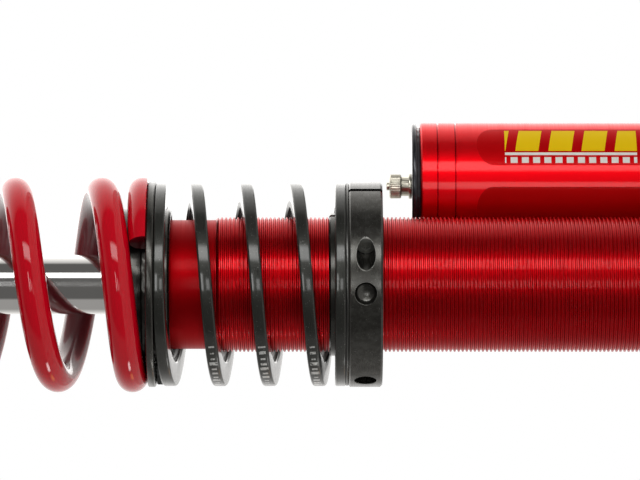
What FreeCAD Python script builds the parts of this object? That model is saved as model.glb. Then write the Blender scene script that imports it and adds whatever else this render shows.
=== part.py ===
import FreeCAD, Part
import math
import os
import re
import Sketcher
from FreeCAD import Rotation, Vector

# A coilover: a threaded monotube damper with a piggyback reservoir, a main spring and a tender spring.
# The origin is the centre of the lower eye's bearing, +Z runs along the damper to the upper eye,
# the reservoir stands on the +X side and both eye bolts run along Y. All sizes are in millimetres.

SIZES = [
    ("running_gap", "0.05", "radial gap of a piece that turns or slides in another"),
    ("free_gap", "0.5", "gap between pieces that pass without touching"),
    ("seat_gap", "0.03", "radial gap of a static spigot"),
    ("eye_radius", "20", "outside of an eye's barrel"),
    ("eye_width", "16", "width of an eye's barrel"),
    ("race_radius", "15", "outside of a bearing race"),
    ("race_width", "10", "width of a bearing race"),
    ("ball_radius", "12", "sphere of a bearing ball"),
    ("ball_width", "14", "width of a bearing ball"),
    ("stub_radius", "7.5", "stub of a spacer inside the ball"),
    ("bolt_radius", "6.05", "bore of the spacers, for an M12 bolt"),
    ("bolt_span", "32", "width over a pair of spacers"),
    ("spacer_radius", "9", "neck of a spacer beside the ball"),
    ("circlip_thickness", "1.2", "thickness of a bearing circlip"),
    ("circlip_depth", "0.8", "depth of a bearing circlip's groove"),
    ("circlip_width", "2.4", "radial width of a bearing circlip"),
    ("block_bottom", "26", "underside of the bridge block above the lower eye"),
    ("floor_thickness", "16", "block metal under the tubes"),
    ("socket_depth", "20", "depth of the tubes' sockets"),
    ("block_wall", "6", "block around the body tube"),
    ("boss_wall", "5", "block around the reservoir"),
    ("web_width", "40", "block between the two tubes"),
    ("neck_width", "34", "neck between block and lower eye"),
    ("passage_radius", "4", "oil passage from body to reservoir"),
    ("passage_rise", "9", "oil passage above the block's underside"),
    ("tube_spacing", "4", "gap between the body tube and the reservoir"),
    ("thread_radius", "25", "outside of the body tube's thread"),
    ("plain_step", "1.1", "radius lost on the body tube's plain top stretch"),
    ("plain_length", "23.8", "length of the plain top stretch"),
    ("tube_wall", "4", "wall of the body tube over its thread"),
    ("tube_reach", "1.6", "body tube beyond the tender spring's end"),
    ("rod_radius", "11", "piston rod"),
    ("rod_bore", "3.5", "bore of the piston rod"),
    ("spigot_step", "5", "radius lost at the rod end that carries the piston"),
    ("stub_step", "3", "radius lost at the rod end inside the upper eye"),
    ("seal_head_height", "25", "seal head"),
    ("ring_height", "1.5", "retaining ring of the seal head and lip above it"),
    ("ring_depth", "1", "depth of the retaining ring's groove"),
    ("bush_wall", "1.5", "wall of the rod bush"),
    ("bush_height", "12", "height of the rod bush"),
    ("seal_wall", "4", "radial width of the shaft seal and the wiper"),
    ("seal_height", "5", "height of the shaft seal"),
    ("bumper_height", "11.5", "top-out bumper"),
    ("backing_height", "3", "washer above the compression shims"),
    ("shim_thickness", "0.5", "one shim"),
    ("shim_step", "2", "radius lost from one shim to the next"),
    ("shim_room", "3", "room around the largest shim"),
    ("piston_height", "18", "piston"),
    ("band_height", "12", "piston band"),
    ("band_depth", "1.5", "depth of the piston band's groove"),
    ("nut_height", "10", "piston nut"),
    ("nut_wall", "4.97", "piston nut from its thread to its corners"),
    ("port_radius", "2.2", "one port of a piston or valve"),
    ("port_inset", "7", "circle of ports inside the bore"),
    ("reservoir_radius", "24", "outside of the reservoir"),
    ("reservoir_wall", "3", "wall of the reservoir"),
    ("reservoir_length", "113.9", "reservoir tube"),
    ("groove_width", "0.9", "turned groove of the reservoir"),
    ("groove_depth", "0.7", "depth of a turned groove"),
    ("groove_one", "6.1", "first groove below the reservoir's top"),
    ("groove_two", "12.8", "second groove below the reservoir's top"),
    ("cap_height", "3.3", "reservoir cap above the tube"),
    ("cap_neck", "1.4", "neck of the cap under its rim"),
    ("cap_plug", "15.9", "plug of the cap inside the tube"),
    ("valve_radius", "3.65", "gas valve stem"),
    ("valve_neck", "3", "valve stem inside its cap"),
    ("valve_rise", "5", "valve stem below its cap"),
    ("valve_bore", "1.2", "bore of the valve stem"),
    ("valve_cap_radius", "4.55", "outside of the valve cap"),
    ("valve_cap_height", "3.2", "knurled part of the valve cap"),
    ("valve_tip_radius", "1.5", "slotted key on the valve cap"),
    ("valve_tip_height", "1.1", "height of the slotted key"),
    ("float_place", "38", "floating piston above the socket floor"),
    ("float_height", "16", "floating piston"),
    ("base_valve_height", "10", "base valve"),
    ("collar_travel", "11", "room below the collar to wind it down"),
    ("collar_thickness", "12.6", "collar"),
    ("pilot_height", "7", "collar's pilot boss inside the tender spring"),
    ("pilot_wall", "1.5", "wall of the collar's pilot boss"),
    ("slit_width", "2.2", "slit of the collar"),
    ("slit_offset", "10.3", "slit from the collar's axis"),
    ("pinch_inset", "6.3", "pinch bolt's axis outside the thread"),
    ("pinch_seat", "12", "seat of the pinch bolt's head from the collar's middle plane"),
    ("pinch_radius", "2", "pinch bolt's shank"),
    ("pinch_head_radius", "3.5", "pinch bolt's head"),
    ("pinch_head_height", "4", "height of the pinch bolt's head"),
    ("pinch_length", "29", "shank of the pinch bolt"),
    ("spanner_radius", "4.2", "C-spanner hole"),
    ("spanner_depth", "7", "depth of a C-spanner hole"),
    ("washer_thickness", "0.8", "slip washer between collar and tender spring"),
    ("helper_length", "70.3", "tender spring"),
    ("spring_room", "3.6", "radial room between the thread and both springs"),
    ("rim_reach", "0.3", "collar and coupler beyond the tender spring"),
    ("helper_wide", "9.1", "radial width of the tender spring's wire"),
    ("helper_high", "4", "axial height of the tender spring's wire"),
    ("helper_pitch", "18.4", "pitch of the tender spring's active coils"),
    ("flange_thickness", "2.9", "coupler's flange"),
    ("coupler_gap", "0.5", "radial gap between coupler and body tube"),
    ("coupler_low", "5.6", "coupler's pilot inside the tender spring"),
    ("coupler_high", "11", "coupler's pilot inside the main spring"),
    ("spring_pilot_gap", "0.5", "radial gap of a pilot inside a spring"),
    ("main_length", "178", "main spring"),
    ("main_wire", "5.7", "radius of the main spring's wire"),
    ("main_pitch", "32", "pitch of the main spring's active coils"),
    ("seat_thickness", "5", "flange of the upper spring seat"),
    ("seat_step", "1", "upper spring seat inside the main spring's outside"),
    ("seat_pilot", "10", "pilot of the upper seat inside the main spring"),
    ("seat_ring_height", "1.6", "snap ring below the upper seat"),
    ("eye_rise", "37.7", "upper eye above the upper seat"),
    ("stem_wall", "6", "stem of the upper eye outside the rod's radius"),
    ("stem_reach", "15.3", "stem below the upper seat"),
    ("shoulder_step", "3", "shoulder that the upper seat meets, beyond the stem"),
    ("shoulder_height", "5", "height of that shoulder"),
    ("flat_wall", "3", "wall of the stem at its flats"),
    ("window_height", "8", "window of the rebound wheel"),
    ("wheel_reach", "2", "rebound wheel beyond the stem's flats"),
    ("metering_radius", "3", "metering rod"),
    ("cup_height", "4", "bump stop's cup"),
    ("cup_rim", "5", "rim of the cup around the bump stop"),
    ("bump_radius", "21.5", "bump stop"),
    ("bump_length", "49.5", "bump stop"),
    ("knob_radius", "9", "compression knob"),
    ("knob_height", "10", "compression knob"),
    ("knob_spigot", "5.5", "radius of a knob's spigot"),
    ("spigot_depth", "4", "depth of a knob's counterbore"),
    ("pin_radius", "3", "needle and pin inside the knobs"),
]

# Heights and radii that follow from the sizes above.
PLACES = [
    ("tube_bore", "thread_radius - tube_wall"),
    ("plain_radius", "thread_radius - plain_step"),
    ("block_radius", "thread_radius + block_wall"),
    ("boss_radius", "reservoir_radius + boss_wall"),
    ("reservoir_bore", "reservoir_radius - reservoir_wall"),
    ("reservoir_offset", "thread_radius + reservoir_radius + tube_spacing"),
    ("spigot_radius", "rod_radius - spigot_step"),
    ("stub_end_radius", "rod_radius - stub_step"),
    ("seal_radius", "rod_radius + seal_wall"),
    ("nut_radius", "spigot_radius + nut_wall"),
    ("pilot_radius", "thread_radius + pilot_wall"),
    ("pinch_place", "thread_radius + pinch_inset"),
    ("helper_inner", "thread_radius + spring_room"),
    ("helper_outer", "helper_inner + helper_wide"),
    ("main_inner", "thread_radius + spring_room"),
    ("main_outer", "main_inner + 2 * main_wire"),
    ("collar_radius", "helper_outer + rim_reach"),
    ("flange_radius", "helper_outer + rim_reach"),
    ("seat_radius", "main_outer - seat_step"),
    ("stem_radius", "rod_radius + stem_wall"),
    ("shoulder_radius", "stem_radius + shoulder_step"),
    ("flat_half", "stub_end_radius + flat_wall"),
    ("wheel_radius", "flat_half + wheel_reach"),
    ("socket_floor", "block_bottom + floor_thickness"),
    ("block_top", "socket_floor + socket_depth"),
    ("passage_place", "block_bottom + passage_rise"),
    ("reservoir_top", "socket_floor + reservoir_length"),
    ("cap_top", "reservoir_top + cap_height"),
    ("plug_bottom", "reservoir_top - cap_plug"),
    ("base_valve_top", "socket_floor + base_valve_height"),
    ("float_bottom", "socket_floor + float_place"),
    ("stem_top", "cap_top + valve_rise"),
    ("collar_bottom", "cap_top + collar_travel + free_gap"),
    ("collar_top", "collar_bottom + collar_thickness"),
    ("collar_middle", "collar_bottom + collar_thickness / 2"),
    ("washer_top", "collar_top + washer_thickness"),
    ("flange_bottom", "washer_top + helper_length"),
    ("flange_top", "flange_bottom + flange_thickness"),
    ("seat_bottom", "flange_top + main_length"),
    ("seat_top", "seat_bottom + seat_thickness"),
    ("upper_eye_place", "seat_top + eye_rise"),
    ("tube_top", "flange_bottom + tube_reach"),
    ("plain_bottom", "tube_top - plain_length"),
    ("head_top", "tube_top - 2 * ring_height"),
    ("head_bottom", "head_top - seal_head_height"),
    ("bush_top", "head_bottom + bush_height"),
    ("seal_bottom", "bush_top + 2"),
    ("wiper_bottom", "seal_bottom + seal_height + 0.5"),
    ("rod_shoulder", "head_bottom - free_gap - bumper_height"),
    ("shims_top", "rod_shoulder - backing_height"),
    ("piston_top", "shims_top - 4 * shim_thickness"),
    ("piston_bottom", "piston_top - piston_height"),
    ("lower_shims_bottom", "piston_bottom - 4 * shim_thickness"),
    ("nut_top", "lower_shims_bottom - backing_height"),
    ("nut_bottom", "nut_top - nut_height"),
    ("rod_end", "nut_bottom - 2"),
    ("stem_bottom", "seat_bottom - stem_reach"),
    ("shoulder_top", "seat_top + shoulder_height"),
    ("window_bottom", "shoulder_top + 1.5"),
    ("window_top", "window_bottom + window_height"),
    ("cup_bottom", "stem_bottom - cup_height"),
    ("bump_bottom", "cup_bottom - bump_length"),
    ("ball_bore", "stub_radius + running_gap"),
    ("coupler_bore", "thread_radius + coupler_gap"),
    ("boss_end", "reservoir_offset + boss_radius"),
]

COLLAR_TURN = -85.0  # direction of the collar's slit, in degrees about Z
SPANNER_FIRST = -55.5  # first C-spanner hole, from the slit
SPANNER_STEP = -64.0  # from one C-spanner hole to the next
SPANNER_HOLES = 5
PORTS = 8
SHIMS = 4
COIL_STEPS = 24  # points of a coil's centre line in one turn
MAIN_FIRST = -109.0  # where the main spring's lower tip lies, in degrees about Z
HELPER_FIRST = 52.8  # where the tender spring's lower tip lies, in degrees about Z

doc = FreeCAD.newDocument("Coilover")
sizes = doc.addObject("Spreadsheet::Sheet", "Sizes")
places = doc.addObject("Spreadsheet::Sheet", "Places")
SHEET_OF = {row[0]: "Sizes" for row in SIZES} | {row[0]: "Places" for row in PLACES}
pieces = []


def spelled(text):
    """Write a formula with the sheet's name before each size."""
    return re.sub(r"[a-z_]+", lambda word: f"{SHEET_OF[word.group()]}.{word.group()}", text)


def fill_sheets():
    """Put the driving sizes in one sheet and what follows from them in the other."""
    for row, (name, number, meaning) in enumerate(SIZES, start=1):
        sizes.set(f"A{row}", meaning)
        sizes.set(f"B{row}", number)
        sizes.setAlias(f"B{row}", name)
    doc.recompute()
    for row, (name, formula) in enumerate(PLACES, start=1):
        places.set(f"A{row}", name)
        places.set(f"B{row}", "=" + spelled(formula).replace("Places.", ""))
        places.setAlias(f"B{row}", name)
        doc.recompute()


def size(name):
    """Read one size or place as a number."""
    return float(doc.getObject(SHEET_OF[name]).get(name))


def bind(thing, **formulas):
    """Tie an object's properties to the sheets."""
    for name, formula in formulas.items():
        thing.setExpression(name, spelled(formula))


def move(thing, x="0", y="0", z="0"):
    """Tie an object's position to the sheets."""
    for axis, formula in (("x", x), ("y", y), ("z", z)):
        thing.setExpression(f".Placement.Base.{axis}", spelled(formula))


def aim(thing, along):
    """Turn a primitive that is made along +Z to lie along another axis."""
    if along != "Z":
        thing.Placement.Rotation = Rotation(Vector(0, 0, 1), {"X": Vector(1, 0, 0), "Y": Vector(0, 1, 0),
                                                             "-Y": Vector(0, -1, 0)}[along])


def cylinder(name, radius, height, x="0", y="0", z="0", along="Z"):
    """A cylinder from the given point, along an axis."""
    rod = doc.addObject("Part::Cylinder", name)
    bind(rod, Radius=radius, Height=height)
    aim(rod, along)
    move(rod, x, y, z)
    return rod


def box(name, length, width, height, x="0", y="0", z="0"):
    """A box from its lowest corner."""
    block = doc.addObject("Part::Box", name)
    bind(block, Length=length, Width=width, Height=height)
    move(block, x, y, z)
    return block


def fuse(name, shapes):
    """Join shapes into one."""
    joined = doc.addObject("Part::MultiFuse", name)
    joined.Shapes = shapes
    joined.Refine = True
    return joined


def cut(name, base, tools):
    """Take the tools away from the base."""
    tool = tools[0] if len(tools) == 1 else fuse(name + "_tools", tools)
    result = doc.addObject("Part::Cut", name)
    result.Base = base
    result.Tool = tool
    return result


def keep(thing, label):
    """Name a finished sub-part and put it on the list of what is written."""
    thing.Label = label
    pieces.append(thing)
    return thing


def group(name, members):
    """Several separate solids that share one sub-part."""
    together = doc.addObject("Part::Compound", name)
    together.Links = members
    return together


def plane_of(body, role):
    """The origin plane of a body that has the given role."""
    return next(plane for plane in body.Origin.OriginFeatures if plane.Role == role)


def turned(name, corners, x="0", y="0", z="0", along="Z"):
    """A turned piece: a closed outline of (radius, height) corners, revolved about Z."""
    body = doc.addObject("PartDesign::Body", name)
    sketch = body.newObject("Sketcher::SketchObject", name + "_outline")
    sketch.AttachmentSupport = [(plane_of(body, "XZ_Plane"), "")]
    sketch.MapMode = "FlatFace"
    count = len(corners)
    start = [Vector(40 + 10 * math.cos(k * 2 * math.pi / count), 10 * math.sin(k * 2 * math.pi / count), 0)
             for k in range(count)]
    for k in range(count):
        sketch.addGeometry(Part.LineSegment(start[k], start[(k + 1) % count]))
    for k in range(count):
        sketch.addConstraint(Sketcher.Constraint("Coincident", k, 2, (k + 1) % count, 1))
    for k, (radius, height) in enumerate(corners):
        across = sketch.addConstraint(Sketcher.Constraint("DistanceX", -1, 1, k, 1, start[k].x))
        sketch.setExpression(f"Constraints[{across}]", spelled(radius))
        up = sketch.addConstraint(Sketcher.Constraint("DistanceY", -1, 1, k, 1, start[k].y))
        sketch.setExpression(f"Constraints[{up}]", spelled(height))
    turn = body.newObject("PartDesign::Revolution", name + "_turn")
    turn.Profile = sketch
    turn.ReferenceAxis = (sketch, ["V_Axis"])
    turn.Angle = 360
    aim(body, along)
    move(body, x, y, z)
    return body


def ring(name, inner, outer, low, high, **where):
    """A plain ring between two radii and two heights."""
    return turned(name, [(inner, low), (outer, low), (outer, high), (inner, high)], **where)


def split_ring(name, inner, outer, low, high, gap, **where):
    """A snap ring: a ring with a gap at its +X side."""
    hoop = ring(name + "_hoop", inner, outer, low, high)
    slot = box(name + "_slot", outer, gap, f"{high} - ({low})", y=f"-({gap}) / 2", z=low)
    clip = cut(name, hoop, [slot])
    aim(clip, where.pop("along", "Z"))
    move(clip, **where)
    return clip


def cord_ring(name, middle, section, x="0", z="0"):
    """An O-ring of round section."""
    loop = doc.addObject("Part::Torus", name)
    bind(loop, Radius1=middle, Radius2=section)
    move(loop, x, "0", z)
    return loop


def ports(name, low, height, bore, x="0"):
    """A circle of drills inside a bore."""
    circle = spelled(f"({bore} - port_inset)")
    drills = []
    for k in range(PORTS):
        turn = 2 * math.pi * k / PORTS
        drill = doc.addObject("Part::Cylinder", f"{name}_drill_{k}")
        bind(drill, Radius="port_radius", Height=height)
        drill.setExpression(".Placement.Base.x", f"{spelled(x)} + {math.cos(turn):.6f} * {circle}")
        drill.setExpression(".Placement.Base.y", f"{math.sin(turn):.6f} * {circle}")
        drill.setExpression(".Placement.Base.z", spelled(low))
        drills.append(drill)
    return drills


def shim_stack(name, largest_at, upward, bore, x="0"):
    """Shims of falling radius, away from the face that they close."""
    sign = "+" if upward else "-"
    shims = []
    for k in range(SHIMS):
        low = f"{largest_at} {sign} {k + (0 if upward else 1)} * shim_thickness"
        high = f"{largest_at} {sign} {k + (1 if upward else 0)} * shim_thickness"
        radius = f"{bore} - shim_room - {k} * shim_step"
        shims.append(ring(f"{name}_{k}", "spigot_radius", radius, low, high, x=x))
    return group(name, shims)


def bearing(end, centre):
    """The spherical bearing of one eye: race, circlips, ball and the pair of bolt spacers, all along Y."""
    shell = cylinder(f"{end}_race_shell", "race_radius", "race_width", along="Y",
                     y="-race_width / 2", z=centre)
    hollow = doc.addObject("Part::Sphere", f"{end}_race_hollow")
    bind(hollow, Radius="ball_radius + running_gap")
    move(hollow, z=centre)
    keep(cut(f"{end}_race_cut", shell, [hollow]), f"{end}_bearing_race")

    inner = "race_radius + circlip_depth - circlip_width"
    outer = "race_radius + circlip_depth"
    clips = [
        split_ring(f"{end}_clip_a", inner, outer, "race_width / 2", "race_width / 2 + circlip_thickness",
                   "5 * circlip_thickness", along="Y", z=centre),
        split_ring(f"{end}_clip_b", inner, outer, "race_width / 2", "race_width / 2 + circlip_thickness",
                   "5 * circlip_thickness", along="-Y", z=centre),
    ]
    keep(group(f"{end}_clips", clips), f"{end}_circlips")

    sphere = doc.addObject("Part::Sphere", f"{end}_sphere")
    bind(sphere, Radius="ball_radius")
    move(sphere, z=centre)
    slab = box(f"{end}_slab", "2 * ball_radius", "ball_width", "2 * ball_radius",
               "-ball_radius", "-ball_width / 2", f"{centre} - ball_radius")
    core = doc.addObject("Part::Common", f"{end}_ball_core")
    core.Base = sphere
    core.Tool = slab
    bore = cylinder(f"{end}_ball_bore", "ball_bore", "2 * ball_width", along="Y", y="-ball_width", z=centre)
    keep(cut(f"{end}_ball_cut", core, [bore]), f"{end}_ball")

    profile = [
        ("bolt_radius", "0.1"),
        ("stub_radius", "0.1"),
        ("stub_radius", "ball_width / 2 + 0.1"),
        ("spacer_radius", "ball_width / 2 + 0.1"),
        ("spacer_radius + 0.5", "bolt_span / 2 - 3"),
        ("spacer_radius + 1.5", "bolt_span / 2 - 1.5"),
        ("spacer_radius + 1.5", "bolt_span / 2 - 0.5"),
        ("spacer_radius + 1", "bolt_span / 2"),
        ("bolt_radius", "bolt_span / 2"),
    ]
    spacers = [turned(f"{end}_spacer_a", profile, z=centre, along="Y"),
               turned(f"{end}_spacer_b", profile, z=centre, along="-Y")]
    keep(group(f"{end}_spacer_pair", spacers), f"{end}_spacers")


def eye_cavity(end, centre):
    """What is bored out of an eye for its bearing: the race's seat, the circlip grooves and the mouths."""
    seat = cylinder(f"{end}_seat_bore", "race_radius", "eye_width + 2", along="Y", y="-eye_width / 2 - 1",
                    z=centre)
    groove_radius = "race_radius + circlip_depth"
    span = "race_width + 2 * circlip_thickness"
    grooves = cylinder(f"{end}_clip_grooves", groove_radius, span, along="Y",
                       y="-race_width / 2 - circlip_thickness", z=centre)
    land = ring(f"{end}_race_land", "race_radius", "race_radius + circlip_depth + 1", "0", "race_width",
                along="Y", y="-race_width / 2", z=centre)
    return [seat, cut(f"{end}_groove_cut", grooves, [land])]


def edges_where(shape, test):
    """Numbers of the edges whose middle and ends pass a test."""
    return [k for k, edge in enumerate(shape.Edges, start=1) if test(edge)]


def rounded(name, base, radius, test):
    """Round the edges that pass a test."""
    doc.recompute()
    chosen = edges_where(base.Shape, test)
    result = doc.addObject("Part::Fillet", name)
    result.Base = base
    result.Edges = [(number, radius, radius) for number in chosen]
    return result


def is_upright(edge):
    """True for a straight edge along Z."""
    way = edge.Vertexes[-1].Point - edge.Vertexes[0].Point
    return edge.Curve.TypeId == "Part::GeomLine" and abs(way.x) + abs(way.y) < 1e-6 and way.Length > 1


def bridge_block():
    """The block at the bottom: lower eye, both tube sockets, the oil passage and the knobs' seats."""
    height = "block_top - block_bottom"
    drum = cylinder("block_drum", "block_radius", height, z="block_bottom")
    boss = cylinder("block_boss", "boss_radius", height, x="reservoir_offset", z="block_bottom")
    web = box("block_web", "reservoir_offset", "web_width", height, y="-web_width / 2", z="block_bottom")
    body = rounded("block_body", fuse("block_sum", [drum, boss, web]), 9,
                   lambda edge: is_upright(edge) and abs(edge.CenterOfMass.y) > 5)
    doc.recompute()
    low, high = size("block_bottom"), size("block_top")
    rims = rounded("block_rims", body, 2.2,
                   lambda edge: edge.BoundBox.ZLength < 1e-6
                   and min(abs(edge.CenterOfMass.z - low), abs(edge.CenterOfMass.z - high)) < 1e-6)
    barrel = cylinder("eye_barrel", "eye_radius", "eye_width", along="Y", y="-eye_width / 2")
    neck = box("eye_neck", "neck_width", "eye_width", "block_bottom + 2", "-neck_width / 2",
               "-eye_width / 2")
    whole = fuse("block_whole", [rims, barrel, neck])
    tools = [
        cylinder("body_socket", "thread_radius", "socket_depth + 1", z="socket_floor"),
        cylinder("reservoir_socket", "reservoir_radius", "socket_depth + 1", x="reservoir_offset",
                 z="socket_floor"),
        cylinder("body_port", "passage_radius", "socket_floor - passage_place + 1", z="passage_place"),
        cylinder("base_port", "passage_radius", "socket_floor - passage_place + 1",
                 x="reservoir_offset - 3 * passage_radius", z="passage_place"),
        cylinder("passage", "passage_radius", "boss_end + block_radius", x="-passage_radius",
                 z="passage_place", along="X"),
        cylinder("needle_seat", "knob_spigot + running_gap", "spigot_depth + 1", x="boss_end - spigot_depth",
                 z="passage_place", along="X"),
        cylinder("pin_hole", "pin_radius + running_gap", "floor_thickness + 2", x="reservoir_offset",
                 z="block_bottom - 1"),
        cylinder("pin_seat", "knob_spigot + running_gap", "spigot_depth + 1", x="reservoir_offset",
                 z="block_bottom - 1"),
        cylinder("plug_hole", "passage_radius", "block_radius", y="-block_radius - 1",
                 x="0", z="passage_place", along="Y"),
    ] + eye_cavity("lower", "0")
    keep(cut("block_cut", whole, tools), "bridge_block")
    keep(turned("block_plug", [
        ("0", "0"), ("passage_radius", "0"), ("passage_radius", "10"), ("passage_radius + 3", "10"),
        ("passage_radius + 3", "13"), ("passage_radius + 2.4", "13.6"),
        ("2", "13.6"), ("2", "9"), ("0", "9"),
    ], y="-block_radius + 10", z="passage_place", along="-Y"), "passage_plug")


def body_tube():
    """The threaded tube, plain at its top, with an inside groove for the retaining ring."""
    bevel = "plain_bottom + (thread_radius - plain_radius)"
    keep(turned("tube", [
        ("tube_bore", "socket_floor"),
        ("thread_radius", "socket_floor"),
        ("thread_radius", "plain_bottom"),
        ("plain_radius", bevel),
        ("plain_radius", "tube_top - 1"),
        ("plain_radius - 1", "tube_top"),
        ("tube_bore", "tube_top"),
        ("tube_bore", "head_top + ring_height"),
        ("tube_bore + ring_depth", "head_top + ring_height"),
        ("tube_bore + ring_depth", "head_top"),
        ("tube_bore", "head_top"),
    ]), "body_tube")


def seal_head():
    """The guide of the rod with its bush, seals, O-ring and retaining ring."""
    groove = "head_bottom + 6"
    keep(turned("head", [
        ("rod_radius + bush_wall + running_gap", "head_bottom"),
        ("tube_bore - seat_gap", "head_bottom"),
        ("tube_bore - seat_gap", groove),
        ("tube_bore - 2", groove),
        ("tube_bore - 2", groove + " + 2.6"),
        ("tube_bore - seat_gap", groove + " + 2.6"),
        ("tube_bore - seat_gap", "head_top"),
        ("seal_radius", "head_top"),
        ("seal_radius", "seal_bottom"),
        ("rod_radius + free_gap", "seal_bottom"),
        ("rod_radius + free_gap", "bush_top"),
        ("rod_radius + bush_wall + running_gap", "bush_top"),
    ]), "seal_head")
    keep(ring("bush", "rod_radius + running_gap", "rod_radius + bush_wall + running_gap", "head_bottom",
              "bush_top"), "rod_bush")
    keep(turned("seal", [
        ("rod_radius + running_gap", "seal_bottom + 1"),
        ("rod_radius + 1.5", "seal_bottom"),
        ("seal_radius", "seal_bottom"),
        ("seal_radius", "seal_bottom + seal_height"),
        ("rod_radius + 1", "seal_bottom + seal_height"),
        ("rod_radius + running_gap", "seal_bottom + seal_height - 1"),
    ]), "shaft_seal")
    keep(turned("wiper", [
        ("rod_radius + 1.2", "wiper_bottom"),
        ("seal_radius", "wiper_bottom"),
        ("seal_radius", "head_top"),
        ("rod_radius + 1.4", "head_top"),
        ("rod_radius + 0.6", "head_top + 2"),
        ("rod_radius + running_gap", "head_top + 2"),
        ("rod_radius + running_gap", "head_top + 1"),
    ]), "wiper_seal")
    keep(cord_ring("head_cord", "tube_bore - 1.06", "0.9", z=groove + " + 1.3"), "seal_head_oring")
    keep(split_ring("head_ring", "tube_bore - 2.2", "tube_bore + ring_depth", "head_top",
                    "head_top + ring_height", "9"), "seal_head_ring")


def piston_and_rod():
    """The rod with everything that is clamped on its lower end, and the top-out bumper above that."""
    keep(turned("rod", [
        ("rod_bore", "rod_end"),
        ("spigot_radius", "rod_end"),
        ("spigot_radius", "rod_shoulder"),
        ("rod_radius - 1", "rod_shoulder"),
        ("rod_radius", "rod_shoulder + 1"),
        ("rod_radius", "stem_bottom"),
        ("stub_end_radius", "stem_bottom"),
        ("stub_end_radius", "shoulder_top - 1"),
        ("stub_end_radius - 1", "shoulder_top"),
        ("rod_bore", "shoulder_top"),
    ]), "piston_rod")
    keep(turned("bumper", [
        ("rod_radius + 0.2", "rod_shoulder + free_gap / 2"),
        ("tube_bore - 4", "rod_shoulder + free_gap / 2"),
        ("tube_bore - 3", "rod_shoulder + bumper_height / 2"),
        ("tube_bore - 4", "rod_shoulder + bumper_height"),
        ("rod_radius + 0.2", "rod_shoulder + bumper_height"),
    ]), "top_out_bumper")
    keep(group("backing", [
        ring("backing_upper", "spigot_radius", "rod_radius + 1", "shims_top", "rod_shoulder"),
        ring("backing_lower", "spigot_radius", "rod_radius + 1", "nut_top", "lower_shims_bottom"),
    ]), "backing_washers")
    keep(shim_stack("compression_shim", "piston_top", True, "tube_bore"), "compression_shims")
    keep(shim_stack("rebound_shim", "piston_bottom", False, "tube_bore"), "rebound_shims")
    groove_low = "piston_bottom + (piston_height - band_height) / 2"
    groove_high = "piston_top - (piston_height - band_height) / 2"
    core = turned("piston_core", [
        ("spigot_radius", "piston_bottom"),
        ("tube_bore - 0.4", "piston_bottom"),
        ("tube_bore - 0.4", groove_low),
        ("tube_bore - band_depth - running_gap", groove_low),
        ("tube_bore - band_depth - running_gap", groove_high),
        ("tube_bore - 0.4", groove_high),
        ("tube_bore - 0.4", "piston_top"),
        ("spigot_radius", "piston_top"),
    ])
    drills = ports("piston", "piston_bottom - 1", "piston_height + 2", "tube_bore")
    keep(cut("piston_cut", core, drills), "piston")
    keep(ring("band", "tube_bore - band_depth", "tube_bore - running_gap", groove_low + " + 0.1",
              groove_high + " - 0.1"), "piston_band")
    hexagon = doc.addObject("Part::Prism", "nut_hexagon")
    hexagon.Polygon = 6
    bind(hexagon, Circumradius="nut_radius", Height="nut_height")
    move(hexagon, z="nut_bottom")
    thread = cylinder("nut_thread", "spigot_radius", "nut_height + 2", z="nut_bottom - 1")
    keep(cut("nut_cut", hexagon, [thread]), "piston_nut")


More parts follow.
